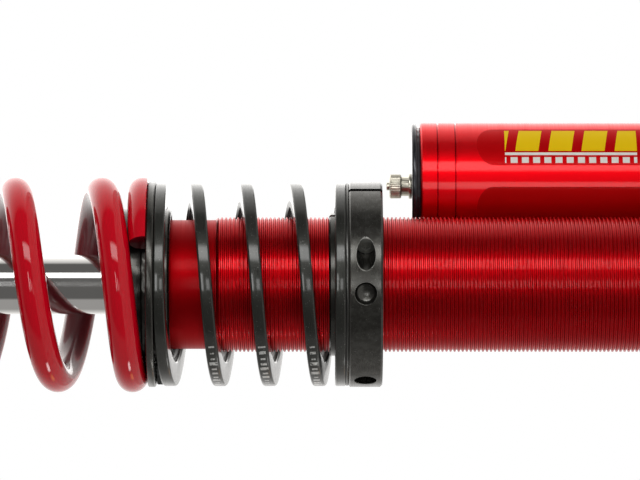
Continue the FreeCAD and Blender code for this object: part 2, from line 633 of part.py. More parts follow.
def upper_eye():
    """The upper eye with its stem, the wheel's window and the bores for rod and bearing."""
    stem = cylinder("stem", "stem_radius", "upper_eye_place - stem_bottom", z="stem_bottom")
    shoulder = cylinder("stem_shoulder", "shoulder_radius", "shoulder_height", z="seat_top")
    barrel = cylinder("upper_barrel", "eye_radius", "eye_width", along="Y", y="-eye_width / 2",
                      z="upper_eye_place")
    flats_height = "upper_eye_place + eye_radius - shoulder_top"
    sides = [box("flat_front", "2 * shoulder_radius", "stem_radius", flats_height, "-shoulder_radius",
                 "-flat_half - stem_radius", "shoulder_top"),
             box("flat_back", "2 * shoulder_radius", "stem_radius", flats_height, "-shoulder_radius",
                 "flat_half", "shoulder_top")]
    slim = [box("eye_side_front", "2 * shoulder_radius", "stem_radius", "2 * eye_radius", "-shoulder_radius",
                "-eye_width / 2 - stem_radius", "upper_eye_place - race_radius - 4"),
            box("eye_side_back", "2 * shoulder_radius", "stem_radius", "2 * eye_radius", "-shoulder_radius",
                "eye_width / 2", "upper_eye_place - race_radius - 4")]
    whole = cut("stem_flats", fuse("eye_sum", [stem, shoulder, barrel]), sides + slim)
    tools = [
        cylinder("stub_bore", "stub_end_radius", "shoulder_top - stem_bottom", z="stem_bottom"),
        cylinder("stub_pilot", "metering_radius + running_gap", "window_top - shoulder_top + 8",
                 z="shoulder_top - 1"),
        box("wheel_window", "2 * wheel_radius + 2", "4 * stem_radius", "window_height",
            "-wheel_radius - 1", "-2 * stem_radius", "window_bottom"),
        ring("ring_groove", "stem_radius - 1.2", "stem_radius + 2",
             "seat_bottom - seat_pilot - seat_ring_height", "seat_bottom - seat_pilot"),
    ] + eye_cavity("upper", "upper_eye_place")
    keep(cut("eye_cut", whole, tools), "upper_eye")
    keep(turned("seat", [
        ("stem_radius", "seat_bottom - seat_pilot"),
        ("main_inner - spring_pilot_gap - 1", "seat_bottom - seat_pilot"),
        ("main_inner - spring_pilot_gap", "seat_bottom - seat_pilot + 1"),
        ("main_inner - spring_pilot_gap", "seat_bottom"),
        ("seat_radius", "seat_bottom"),
        ("seat_radius", "seat_top - 1"),
        ("seat_radius - 1", "seat_top"),
        ("stem_radius", "seat_top"),
    ]), "upper_spring_seat")
    keep(split_ring("seat_clip", "stem_radius - 1.2", "stem_radius + 1.4",
                    "seat_bottom - seat_pilot - seat_ring_height", "seat_bottom - seat_pilot", "7"),
         "spring_seat_ring")
    keep(turned("cup", [
        ("rod_radius", "cup_bottom"),
        ("bump_radius + 0.5", "cup_bottom"),
        ("bump_radius + 0.5", "cup_bottom - cup_rim"),
        ("bump_radius + 2", "cup_bottom - cup_rim"),
        ("bump_radius + 2", "stem_bottom"),
        ("rod_radius", "stem_bottom"),
    ]), "bump_stop_cup")


def bump_stop():
    """The foam stop: full at its top, waisted twice and tapered to its nose."""
    third = "bump_length / 3"
    keep(turned("bump", [
        ("rod_radius + 0.3", "bump_bottom"),
        ("rod_radius + 4", "bump_bottom"),
        ("bump_radius - 3", f"bump_bottom + {third} * 0.45"),
        ("bump_radius - 5", f"bump_bottom + {third} * 0.9"),
        ("bump_radius - 1", f"bump_bottom + {third} * 1.4"),
        ("bump_radius - 4", f"bump_bottom + {third} * 1.95"),
        ("bump_radius", f"bump_bottom + {third} * 2.3"),
        ("bump_radius", "cup_bottom"),
        ("rod_radius + 0.3", "cup_bottom"),
    ]), "bump_stop")


def rebound_adjuster():
    """The wheel in the upper eye and the long metering rod that it drives."""
    keep(ring("wheel", "metering_radius + running_gap", "wheel_radius", "window_bottom + 0.3",
              "window_top - 0.3"), "rebound_wheel")
    keep(turned("metering", [
        ("0", "rod_end + 6"),
        ("metering_radius - 2", "rod_end + 6"),
        ("metering_radius", "rod_end + 14"),
        ("metering_radius", "window_top + 2"),
        ("0", "window_top + 2"),
    ]), "metering_rod")


def reservoir():
    """The reservoir tube with its two turned grooves, the cap, its ring and the O-rings."""
    where = {"x": "reservoir_offset"}
    one = "reservoir_top - groove_one"
    two = "reservoir_top - groove_two"
    ring_place = "reservoir_top - 4"
    outline = [("reservoir_bore", "socket_floor"), ("reservoir_radius", "socket_floor")]
    for groove in (two, one):
        outline += [
            ("reservoir_radius", f"{groove} - groove_width"),
            ("reservoir_radius - groove_depth", f"{groove} - groove_width"),
            ("reservoir_radius - groove_depth", groove),
            ("reservoir_radius", groove),
        ]
    outline += [
        ("reservoir_radius", "reservoir_top - 0.6"),
        ("reservoir_radius - 0.6", "reservoir_top"),
        ("reservoir_bore", "reservoir_top"),
        ("reservoir_bore", ring_place + " + 1"),
        ("reservoir_bore + 0.8", ring_place),
        ("reservoir_bore", ring_place + " - 1"),
    ]
    keep(turned("reservoir_wall", outline, **where), "reservoir_tube")
    keep(turned("cap_turned", [
        ("valve_radius - 0.3", "plug_bottom"),
        ("reservoir_bore - seat_gap - 1", "plug_bottom"),
        ("reservoir_bore - seat_gap", "plug_bottom + 1"),
        ("reservoir_bore - seat_gap", "plug_bottom + 3"),
        ("reservoir_bore - 2", "plug_bottom + 3"),
        ("reservoir_bore - 2", "plug_bottom + 5.6"),
        ("reservoir_bore - seat_gap", "plug_bottom + 5.6"),
        ("reservoir_bore - seat_gap", ring_place + " - 1.2"),
        ("reservoir_bore - 1", ring_place + " - 1.2"),
        ("reservoir_bore - 1", "reservoir_top"),
        ("reservoir_radius - 1.6", "reservoir_top"),
        ("reservoir_radius - 1.6", "reservoir_top + cap_neck"),
        ("reservoir_radius - 0.4", "reservoir_top + cap_neck"),
        ("reservoir_radius - 0.4", "cap_top - 0.5"),
        ("reservoir_radius - 0.9", "cap_top"),
        ("valve_radius - 0.3", "cap_top"),
    ], **where), "reservoir_cap")
    keep(cord_ring("cap_cord", "reservoir_bore - 1.06", "0.9", "reservoir_offset", "plug_bottom + 4.3"),
         "reservoir_cap_oring")
    keep(cord_ring("cap_wire", "reservoir_bore - 0.16", "0.75", "reservoir_offset", ring_place),
         "reservoir_cap_ring")
    keep(turned("stem_turned", [
        ("valve_bore", "plug_bottom - 1"),
        ("valve_radius - 0.3", "plug_bottom - 1"),
        ("valve_radius - 0.3", "cap_top"),
        ("valve_cap_radius + 0.1", "cap_top"),
        ("valve_cap_radius + 0.1", "cap_top + 0.9"),
        ("valve_radius", "cap_top + 0.9"),
        ("valve_radius", "stem_top"),
        ("valve_neck", "stem_top"),
        ("valve_neck", "stem_top + 2"),
        ("valve_bore", "stem_top + 2"),
    ], **where), "valve_stem")
    keep(cylinder("pin_turned", "valve_bore / 2", "valve_rise + 2", "reservoir_offset",
                  z="stem_top - valve_rise - 0.6"), "valve_pin")
    keep(turned("valve_cap_turned", [
        ("valve_neck + running_gap", "stem_top + 0.05"),
        ("valve_cap_radius - 0.4", "stem_top + 0.05"),
        ("valve_cap_radius", "stem_top + 0.45"),
        ("valve_cap_radius", "stem_top + valve_cap_height - 0.4"),
        ("valve_cap_radius - 0.6", "stem_top + valve_cap_height"),
        ("valve_tip_radius", "stem_top + valve_cap_height"),
        ("valve_tip_radius", "stem_top + valve_cap_height + valve_tip_height"),
        ("0", "stem_top + valve_cap_height + valve_tip_height"),
        ("0", "stem_top + 2.1"),
        ("valve_neck + running_gap", "stem_top + 2.1"),
    ], **where), "valve_cap")


def floating_piston():
    """The piston between oil and gas, dished on its gas side, with its rings."""
    middle = "float_bottom + float_height / 2"
    keep(turned("float_turned", [
        ("0", "float_bottom"),
        ("reservoir_bore - 0.3", "float_bottom"),
        ("reservoir_bore - 0.3", middle + " - 1.3"),
        ("reservoir_bore - 2", middle + " - 1.3"),
        ("reservoir_bore - 2", middle + " + 1.3"),
        ("reservoir_bore - 0.3", middle + " + 1.3"),
        ("reservoir_bore - 0.3", "float_bottom + float_height"),
        ("reservoir_bore - 4", "float_bottom + float_height"),
        ("reservoir_bore - 5", "float_bottom + float_height / 2"),
        ("0", "float_bottom + float_height / 2"),
    ], x="reservoir_offset"), "floating_piston")
    keep(cord_ring("float_cord", "reservoir_bore - 1.1", "0.9", "reservoir_offset", middle),
         "floating_piston_oring")


def base_valve():
    """The compression valve at the reservoir's foot, its shims, and the O-rings under both tubes."""
    core = ring("valve_core", "spigot_radius", "reservoir_bore - seat_gap", "socket_floor + 3",
                "base_valve_top", x="reservoir_offset")
    drills = ports("valve", "socket_floor", "base_valve_height + 2", "reservoir_bore", "reservoir_offset")
    keep(cut("valve_cut", core, drills), "base_valve")
    shims = shim_stack("base_shim", "base_valve_top", True, "reservoir_bore", x="reservoir_offset")
    keep(shims, "base_valve_shims")
    post = turned("post_turned", [
        ("0", "socket_floor + 3"),
        ("spigot_radius", "socket_floor + 3"),
        ("spigot_radius", "base_valve_top + 4 * shim_thickness"),
        ("spigot_radius + 3", "base_valve_top + 4 * shim_thickness"),
        ("spigot_radius + 3", "base_valve_top + 4 * shim_thickness + 4"),
        ("0", "base_valve_top + 4 * shim_thickness + 4"),
    ], x="reservoir_offset")
    keep(post, "base_valve_bolt")


def compression_knobs():
    """Low speed: a knob and needle on the passage's axis. High speed: a knob and pin under the reservoir."""
    profile = [
        ("pin_radius + running_gap", "-spigot_depth"),
        ("knob_spigot", "-spigot_depth"),
        ("knob_spigot", "0.3"),
        ("knob_radius - 0.8", "0.3"),
        ("knob_radius", "1.1"),
        ("knob_radius", "knob_height - 0.8"),
        ("knob_radius - 0.8", "knob_height"),
        ("2", "knob_height"),
        ("2", "knob_height - 2"),
        ("pin_radius + running_gap", "knob_height - 2"),
    ]
    keep(turned("low_knob", profile, x="boss_end", z="passage_place", along="X"), "low_speed_knob")
    keep(turned("low_needle", [
        ("0", "0"),
        ("pin_radius - 2", "0"),
        ("pin_radius", "6"),
        ("pin_radius", "boss_radius - 2 * pin_radius + 1"),
        ("0", "boss_radius - 2 * pin_radius + 1"),
    ], x="reservoir_offset + 2 * pin_radius + free_gap", z="passage_place", along="X"), "low_speed_needle")
    knob = turned("high_knob", profile)
    knob.Placement.Rotation = Rotation(Vector(1, 0, 0), 180)
    move(knob, x="reservoir_offset", z="block_bottom")
    keep(knob, "high_speed_knob")
    keep(cylinder("high_pin", "pin_radius", "floor_thickness + 2", "reservoir_offset",
                  z="block_bottom - 2"), "high_speed_pin")


def collar():
    """The adjuster ring with its pilot, slit and C-spanner holes, the pinch bolt and the slip washer."""
    bore = "thread_radius + running_gap"
    blank = turned("collar_blank", [
        (bore + " + 1", "collar_bottom"),
        ("collar_radius - 0.8", "collar_bottom"),
        ("collar_radius", "collar_bottom + 0.8"),
        ("collar_radius", "collar_top - 0.8"),
        ("collar_radius - 0.8", "collar_top"),
        ("pilot_radius", "collar_top"),
        ("pilot_radius", "collar_top + pilot_height - 0.6"),
        ("pilot_radius - 0.6", "collar_top + pilot_height"),
        (bore, "collar_top + pilot_height"),
        (bore, "collar_bottom + 1"),
    ])
    tools = [box("collar_slit", "collar_radius", "slit_width", "collar_thickness + pilot_height + 2",
                 y="slit_offset - slit_width / 2", z="collar_bottom - 1"),
             cylinder("pinch_counterbore", "pinch_head_radius + 0.1", "collar_radius", "pinch_place",
                      "-pinch_seat - collar_radius", "collar_middle", along="Y"),
             cylinder("pinch_hole", "pinch_radius", "pinch_length", "pinch_place", "-pinch_seat",
                      "collar_middle", along="Y")]
    for k in range(SPANNER_HOLES):
        turn = Rotation(Vector(0, 0, 1), SPANNER_FIRST + k * SPANNER_STEP)
        drill = doc.addObject("Part::Cylinder", f"spanner_hole_{k}")
        bind(drill, Radius="spanner_radius", Height="spanner_depth + 5")
        way = turn.multVec(Vector(1, 0, 0))
        drill.Placement.Rotation = Rotation(Vector(0, 0, 1), way)
        reach = "(collar_radius - spanner_depth)"
        drill.setExpression(".Placement.Base.x", f"{way.x:.9f} * {spelled(reach)}")
        drill.setExpression(".Placement.Base.y", f"{way.y:.9f} * {spelled(reach)}")
        drill.setExpression(".Placement.Base.z", spelled("collar_middle"))
        tools.append(drill)
    nut = cut("collar_cut", blank, tools)
    nut.Placement.Rotation = Rotation(Vector(0, 0, 1), COLLAR_TURN)
    keep(nut, "adjuster_collar")

    shank = cylinder("pinch_shank", "pinch_radius", "pinch_length", "pinch_place", "-pinch_seat",
                     "collar_middle", along="Y")
    head = cylinder("pinch_head", "pinch_head_radius", "pinch_head_height", "pinch_place",
                    "-pinch_seat - pinch_head_height", "collar_middle", along="Y")
    socket = doc.addObject("Part::Prism", "pinch_socket")
    socket.Polygon = 6
    bind(socket, Circumradius="pinch_radius * 0.95", Height="pinch_head_height")
    aim(socket, "Y")
    move(socket, "pinch_place", "-pinch_seat - 1.6 * pinch_head_height", "collar_middle")
    bolt = cut("pinch_cut", fuse("pinch_sum", [shank, head]), [socket])
    bolt.Placement.Rotation = Rotation(Vector(0, 0, 1), COLLAR_TURN)
    keep(bolt, "pinch_bolt")
    keep(ring("slip_washer", "pilot_radius + 0.3", "helper_outer - 0.2", "collar_top", "washer_top"),
         "thrust_washer")


def coupler():
    """The ring that joins the two springs and slides outside the body tube."""
    low_pilot = "helper_inner - spring_pilot_gap"
    high_pilot = "main_inner - spring_pilot_gap"
    keep(turned("coupler_turned", [
        ("coupler_bore", "flange_bottom - coupler_low"),
        (low_pilot + " - 0.9", "flange_bottom - coupler_low"),
        (low_pilot, "flange_bottom - coupler_low + 0.9"),
        (low_pilot, "flange_bottom"),
        ("flange_radius - 0.4", "flange_bottom"),
        ("flange_radius", "flange_bottom + 0.4"),
        ("flange_radius", "flange_top - 0.4"),
        ("flange_radius - 0.4", "flange_top"),
        (high_pilot + " - 0.8", "flange_top"),
        (high_pilot + " - 0.8", "flange_top + 1.8"),
        (high_pilot, "flange_top + 1.8"),
        (high_pilot, "flange_top + coupler_high - 1"),
        (high_pilot + " - 1", "flange_top + coupler_high"),
        ("coupler_bore", "flange_top + coupler_high"),
    ]), "spring_coupler")


def rise(turned_by, pitch_low, pitch_high, dead, blend):
    """Height gained after a number of turns, from a closed end coil into the active coils."""
    if turned_by <= dead:
        return pitch_low * turned_by
    if turned_by >= dead + blend:
        ends = pitch_low * dead + (pitch_low + pitch_high) / 2 * blend
        return ends + pitch_high * (turned_by - dead - blend)
    into = turned_by - dead
    return pitch_low * turned_by + (pitch_high - pitch_low) * into * into / (2 * blend)


def coil(points, section):
    """Sweep a section along a smooth line through the points."""
    line = Part.BSplineCurve()
    line.interpolate(points)
    return Part.Wire([line.toShape()]).makePipeShell([section], True, True)


def coil_points(mean, foot, top, pitch_end, pitch_active, dead, blend, first_angle):
    """Centre line of a right-handed spring that closes at both ends, from foot to top."""
    turns = solve_turns(top - foot, pitch_end, pitch_active, dead, blend)
    steps = round(turns * COIL_STEPS)
    points = []
    for k in range(steps + 1):
        at = turns * k / steps
        half = turns / 2
        if at <= half:
            height = foot + rise(at, pitch_end, pitch_active, dead, blend)
        else:
            height = top - rise(turns - at, pitch_end, pitch_active, dead, blend)
        angle = math.radians(first_angle) + 2 * math.pi * at
        points.append(Vector(mean * math.cos(angle), mean * math.sin(angle), height))
    return points


def solve_turns(height, pitch_end, pitch_active, dead, blend):
    """Number of turns that climbs a height with both ends closed."""
    ends = 2 * rise(dead + blend, pitch_end, pitch_active, dead, blend)
    return 2 * (dead + blend) + (height - ends) / pitch_active


def springs():
    """Both springs, with closed ends ground flat between the planes that they stand on."""
    wire = size("main_wire")
    mean = size("main_outer") - wire
    foot, top = size("flange_top"), size("seat_bottom")
    points = coil_points(mean, foot + 0.8, top - 0.8, 2 * wire - 4, size("main_pitch"), 0.66, 0.39,
                         MAIN_FIRST)
    way = (points[1] - points[0]).normalize()
    section = Part.Wire([Part.Circle(points[0], way, wire).toShape()])
    slab = Part.makeBox(4 * mean, 4 * mean, top - foot, Vector(-2 * mean, -2 * mean, foot))
    main = doc.addObject("Part::Feature", "main_coil")
    main.Shape = coil(points, section).common(slab)
    keep(main, "main_spring")

    wide, high = size("helper_wide"), size("helper_high")
    mean = size("helper_outer") - wide / 2
    foot, top = size("washer_top"), size("flange_bottom")
    points = coil_points(mean, foot + high / 2, top - high / 2, high * 0.02, size("helper_pitch"),
                         0.72, 0.18, HELPER_FIRST)
    middle = points[0]
    out = Vector(middle.x, middle.y, 0).normalize()
    way = (points[1] - points[0]).normalize()
    up = way.cross(out).normalize() * -1
    corners = [middle + out * (across * wide / 2) + up * (along * high / 2)
               for across, along in ((-1, -1), (1, -1), (1, 1), (-1, 1))]
    section = Part.makePolygon(corners + [corners[0]])
    helper = doc.addObject("Part::Feature", "helper_coil")
    slab = Part.makeBox(4 * mean, 4 * mean, top - foot, Vector(-2 * mean, -2 * mean, foot))
    helper.Shape = coil(points, section).common(slab)
    keep(helper, "helper_spring")


def write_parts():
    """Check every object and every sub-part, then write one STEP file for each sub-part."""
    doc.recompute()
    for thing in doc.Objects:
        if {"Invalid", "Error"} & set(thing.State):
            raise RuntimeError(f"{thing.Label} failed: {thing.State}")
    os.makedirs("parts", exist_ok=True)
    for piece in pieces:
        if piece.Shape.isNull() or not piece.Shape.isValid() or piece.Shape.Volume <= 0:
            raise RuntimeError(f"{piece.Label} has no valid shape")
    for piece in pieces:
        piece.Shape.exportStep(f"parts/{piece.Label}.step")
    print(len(pieces), "sub-parts written")


fill_sheets()
bridge_block()
body_tube()
seal_head()
piston_and_rod()
upper_eye()
bump_stop()
rebound_adjuster()
reservoir()
floating_piston()
base_valve()
compression_knobs()
collar()
coupler()
springs()
bearing("upper", "upper_eye_place")
bearing("lower", "0")
write_parts()
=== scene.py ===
"""Looks of a coilover: a threaded damper, its two springs, the piggyback reservoir and the fittings.

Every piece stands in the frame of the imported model, in metres: +Z runs along the damper and +X points to
the reservoir. Heights and radii are read from the model's nodes, and what only the eye needs, such as a
thread's groove or a knurl, is a field of the class that makes it.
"""
import logging
import math
from collections.abc import Callable, Sequence
from dataclasses import dataclass
from enum import Enum

import bmesh
import bpy
from mathutils import Matrix, Vector
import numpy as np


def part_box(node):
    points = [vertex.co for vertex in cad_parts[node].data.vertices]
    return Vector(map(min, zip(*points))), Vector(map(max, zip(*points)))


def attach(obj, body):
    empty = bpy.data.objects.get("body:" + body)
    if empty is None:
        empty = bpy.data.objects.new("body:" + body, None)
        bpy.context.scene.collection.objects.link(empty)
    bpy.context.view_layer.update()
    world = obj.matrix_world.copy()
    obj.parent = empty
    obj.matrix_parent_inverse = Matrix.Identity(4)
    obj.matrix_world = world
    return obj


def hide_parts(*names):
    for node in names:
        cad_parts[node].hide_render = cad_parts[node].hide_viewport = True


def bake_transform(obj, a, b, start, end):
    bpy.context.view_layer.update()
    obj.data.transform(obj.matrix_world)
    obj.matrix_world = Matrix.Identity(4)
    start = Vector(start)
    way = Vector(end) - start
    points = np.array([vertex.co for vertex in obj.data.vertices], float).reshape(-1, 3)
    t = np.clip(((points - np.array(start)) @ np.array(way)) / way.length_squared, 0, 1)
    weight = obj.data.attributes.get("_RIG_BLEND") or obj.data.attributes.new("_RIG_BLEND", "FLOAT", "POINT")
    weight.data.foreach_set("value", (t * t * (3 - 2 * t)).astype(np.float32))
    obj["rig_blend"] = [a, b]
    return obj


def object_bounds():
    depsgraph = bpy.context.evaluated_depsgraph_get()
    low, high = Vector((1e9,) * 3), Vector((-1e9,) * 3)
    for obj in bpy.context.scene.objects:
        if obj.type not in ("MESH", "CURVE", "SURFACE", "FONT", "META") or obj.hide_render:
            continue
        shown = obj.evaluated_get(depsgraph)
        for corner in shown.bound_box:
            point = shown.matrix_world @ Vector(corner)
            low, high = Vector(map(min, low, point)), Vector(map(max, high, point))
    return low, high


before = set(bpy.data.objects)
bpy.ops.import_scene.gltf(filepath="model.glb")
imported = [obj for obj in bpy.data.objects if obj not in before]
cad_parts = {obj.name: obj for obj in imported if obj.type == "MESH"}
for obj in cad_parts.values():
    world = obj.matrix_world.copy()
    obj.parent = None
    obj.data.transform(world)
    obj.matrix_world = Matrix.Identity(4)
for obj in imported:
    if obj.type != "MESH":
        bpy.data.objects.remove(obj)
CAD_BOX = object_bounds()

LOG = logging.getLogger("coilover")
MM = 0.001
TAU = 2.0 * math.pi
Colour = tuple[float, float, float]
Point = tuple[float, float, float]


# ---------------------------------------------------------------- reading the frame


def low(node: str) -> Vector:
    """Lowest corner of a node's box."""
    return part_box(node)[0]


def high(node: str) -> Vector:
    """Highest corner of a node's box."""
    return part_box(node)[1]


def outer_radius(node: str) -> float:
    """Outside radius of a node that is round about an upright axis, from its box along X."""
    lowest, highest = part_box(node)
    return (highest.x - lowest.x) / 2


RESERVOIR_AXIS = (low("reservoir_tube").x + high("reservoir_tube").x) / 2
CAMERA_SIDE = -136.0  # direction of the camera about Z, in degrees
PANEL_DROP = 0.021  # from the reservoir's top to its printed panels, in metres


# ---------------------------------------------------------------- shader nodes


class Graph:
    """A node tree with short calls to add nodes and join them."""

    def __init__(self, tree: bpy.types.NodeTree) -> None:
        """Hold the tree."""
        self.tree = tree

    def add(self, kind: str, **settings: object) -> bpy.types.Node:
        """Add a node.

        Args:
            kind: Blender's name of the node type.
            settings: attributes of the node.

        Returns:
            The new node.
        """
        node = self.tree.nodes.new(kind)
        for name, value in settings.items():
            setattr(node, name, value)
        return node

    def feed(self, socket: bpy.types.NodeSocket, value: object) -> None:
        """Join an output to a socket, or set the socket to a constant.

        Args:
            socket: input of a node.
            value: an output of another node, or a number, colour or vector.
        """
        if isinstance(value, bpy.types.NodeSocket):
            self.tree.links.new(value, socket)
        else:
            socket.default_value = value

    def maths(self, operation: str, *values: object, clamp: bool = False) -> bpy.types.NodeSocket:
        """Add a maths node on one to three values.

        Args:
            operation: Blender's name of the sum.
            values: outputs or numbers, in the node's order.
            clamp: True to hold the result between nought and one.

        Returns:
            The result's socket.
        """
        node = self.add("ShaderNodeMath", operation=operation, use_clamp=clamp)
        for socket, value in zip(node.inputs, values):
            self.feed(socket, value)
        return node.outputs[0]

    def vector(self, operation: str, *values: object) -> bpy.types.NodeSocket:
        """Add a vector maths node.

        Args:
            operation: Blender's name of the sum.
            values: outputs or vectors, in the node's order.

        Returns:
            The socket of the resulting vector.
        """
        node = self.add("ShaderNodeVectorMath", operation=operation)
        for socket, value in zip(node.inputs, values):
            self.feed(socket, value)
        return node.outputs[0]

    def split(self, vector: bpy.types.NodeSocket) -> Sequence[bpy.types.NodeSocket]:
        """Take a vector apart.

        Args:
            vector: the vector's socket.

        Returns:
            The outputs for X, Y and Z.
        """
        node = self.add("ShaderNodeSeparateXYZ")
        self.feed(node.inputs[0], vector)
        return node.outputs

    def join(self, x: object, y: object, z: object) -> bpy.types.NodeSocket:
        """Put a vector together from three values.

        Args:
            x: an output or a number.
            y: an output or a number.
            z: an output or a number.

        Returns:
            The vector's socket.
        """
        node = self.add("ShaderNodeCombineXYZ")
        for socket, value in zip(node.inputs, (x, y, z)):
            self.feed(socket, value)
        return node.outputs[0]

    def noise(self, vector: object, scale: float, detail: float, rough: float) -> bpy.types.NodeSocket:
        """Add a noise texture.

        Args:
            vector: where it is read.
            scale: lumps in a metre.
            detail: octaves of finer noise on top.
            rough: strength of each octave against the one before.

        Returns:
            The socket of the noise's value.
        """
        node = self.add("ShaderNodeTexNoise")
        self.feed(node.inputs["Vector"], vector)
        node.inputs["Scale"].default_value = scale
        node.inputs["Detail"].default_value = detail
        node.inputs["Roughness"].default_value = rough
        return node.outputs["Fac"]

    def ramp(self, value: object, start: float, end: float, to_low: float = 0.0,
             to_high: float = 1.0) -> bpy.types.NodeSocket:
        """Map a value from one range to another and hold it inside.

        Args:
            value: an output or a number.
            start: value that gives the first end of the new range.
            end: value that gives its second end.
            to_low: first end of the new range.
            to_high: second end of the new range.

        Returns:
            The result's socket.
        """
        node = self.add("ShaderNodeMapRange", clamp=True)
        self.feed(node.inputs["Value"], value)
        for name, number in (("From Min", start), ("From Max", end), ("To Min", to_low),
                             ("To Max", to_high)):
            node.inputs[name].default_value = number
        return node.outputs["Result"]

    def blend(self, factor: object, first: object, second: object) -> bpy.types.NodeSocket:
        """Mix two colours.

        Args:
            factor: nought for the first colour and one for the second.
            first: an output or a colour.
            second: an output or a colour.

        Returns:
            The mixed colour's socket.
        """
        node = self.add("ShaderNodeMix", data_type="RGBA")
        self.feed(node.inputs[0], factor)
        for socket, value in ((node.inputs[6], first), (node.inputs[7], second)):
            self.feed(socket, (*value, 1.0) if isinstance(value, tuple) else value)
        return node.outputs[2]

    def place(self) -> bpy.types.NodeSocket:
        """Coordinates of the surface in the frame."""
        return self.add("ShaderNodeTexCoord").outputs["Object"]


class SocketKind(Enum):
    """Kinds of socket that a shared group has."""

    VALUE = "NodeSocketFloat"
    VECTOR = "NodeSocketVector"


@dataclass(frozen=True)
class Effect:
    """A shader node group that several finishes share."""

    name: str
    takes: tuple[tuple[str, SocketKind], ...]
    gives: tuple[tuple[str, SocketKind], ...]
    draw: Callable[[Graph, bpy.types.Node, bpy.types.Node], None]

    def tree(self) -> bpy.types.NodeTree:
        """Make the group the first time that it is asked for.

        Returns:
            The group's tree.
        """
        known = bpy.data.node_groups.get(self.name)
        if known is not None:
            return known
        tree = bpy.data.node_groups.new(self.name, "ShaderNodeTree")
        for name, kind in self.takes:
            tree.interface.new_socket(name=name, in_out="INPUT", socket_type=kind.value)
        for name, kind in self.gives:
            tree.interface.new_socket(name=name, in_out="OUTPUT", socket_type=kind.value)
        graph = Graph(tree)
        self.draw(graph, graph.add("NodeGroupInput"), graph.add("NodeGroupOutput"))
        return tree

    def put(self, graph: Graph, **values: object) -> bpy.types.Node:
        """Place the group in a material.

        Args:
            graph: the material's graph.
            values: what goes in, by the socket's name with low lines for spaces.

        Returns:
            The group's node.
        """
        node = graph.add("ShaderNodeGroup", node_tree=self.tree())
        for name, value in values.items():
            graph.feed(node.inputs[name.replace("_", " ").capitalize()], value)
        return node


RING_DRIFT = 6.0  # change of a turning mark across the piece, per metre


def draw_turning(graph: Graph, given: bpy.types.Node, result: bpy.types.Node) -> None:
    """Fine rings that a cutting tool leaves about Z, and slow changes of tone.

    Args:
        graph: the group's graph.
        given: node that brings in the group's inputs.
        result: node that takes the group's outputs.
    """
    x, y, z = graph.split(given.outputs["Place"])
    along = graph.maths("MULTIPLY", z, given.outputs["Fineness"])
    sideways = (graph.maths("MULTIPLY", value, RING_DRIFT) for value in (x, y))
    rings = graph.noise(graph.join(*sideways, along), scale=1.0, detail=4.0, rough=0.7)
    cloud = graph.noise(given.outputs["Place"], scale=28.0, detail=3.0, rough=0.6)
    graph.feed(result.inputs["Rings"], rings)
    graph.feed(result.inputs["Cloud"], cloud)


def draw_wear(graph: Graph, given: bpy.types.Node, result: bpy.types.Node) -> None:
    """Where edges are rubbed bright: sharp convex places, broken up by noise.

    Args:
        graph: the group's graph.
        given: node that brings in the group's inputs.
        result: node that takes the group's outputs.
    """
    sharp = graph.add("ShaderNodeNewGeometry").outputs["Pointiness"]
    edge = graph.ramp(sharp, start=0.53, end=0.60)
    spread = graph.noise(given.outputs["Place"], scale=420.0, detail=4.0, rough=0.65)
    patches = graph.ramp(spread, start=0.42, end=0.62)
    graph.feed(result.inputs["Mask"], graph.maths("MULTIPLY", edge, patches, clamp=True))


def draw_dust(graph: Graph, given: bpy.types.Node, result: bpy.types.Node) -> None:
    """Thin dust and finger haze in soft patches with fine specks.

    Args:
        graph: the group's graph.
        given: node that brings in the group's inputs.
        result: node that takes the group's outputs.
    """
    coarse = graph.noise(given.outputs["Place"], scale=35.0, detail=5.0, rough=0.7)
    fine = graph.noise(given.outputs["Place"], scale=2600.0, detail=1.0, rough=0.5)
    graph.feed(result.inputs["Haze"], graph.ramp(coarse, start=0.45, end=0.75))
    graph.feed(result.inputs["Specks"], graph.ramp(fine, start=0.70, end=0.78))


PLACE = (("Place", SocketKind.VECTOR),)
TURNING = Effect("turning_rings", (*PLACE, ("Fineness", SocketKind.VALUE)),
                 (("Rings", SocketKind.VALUE), ("Cloud", SocketKind.VALUE)), draw_turning)
WEAR = Effect("edge_wear", PLACE, (("Mask", SocketKind.VALUE),), draw_wear)
DUST = Effect("thin_dust", PLACE, (("Haze", SocketKind.VALUE), ("Specks", SocketKind.VALUE)), draw_dust)
DUST_COLOUR = (0.55, 0.54, 0.52)
DUST_ROUGHNESS = 0.35  # what a full haze adds to the roughness


# ---------------------------------------------------------------- finishes


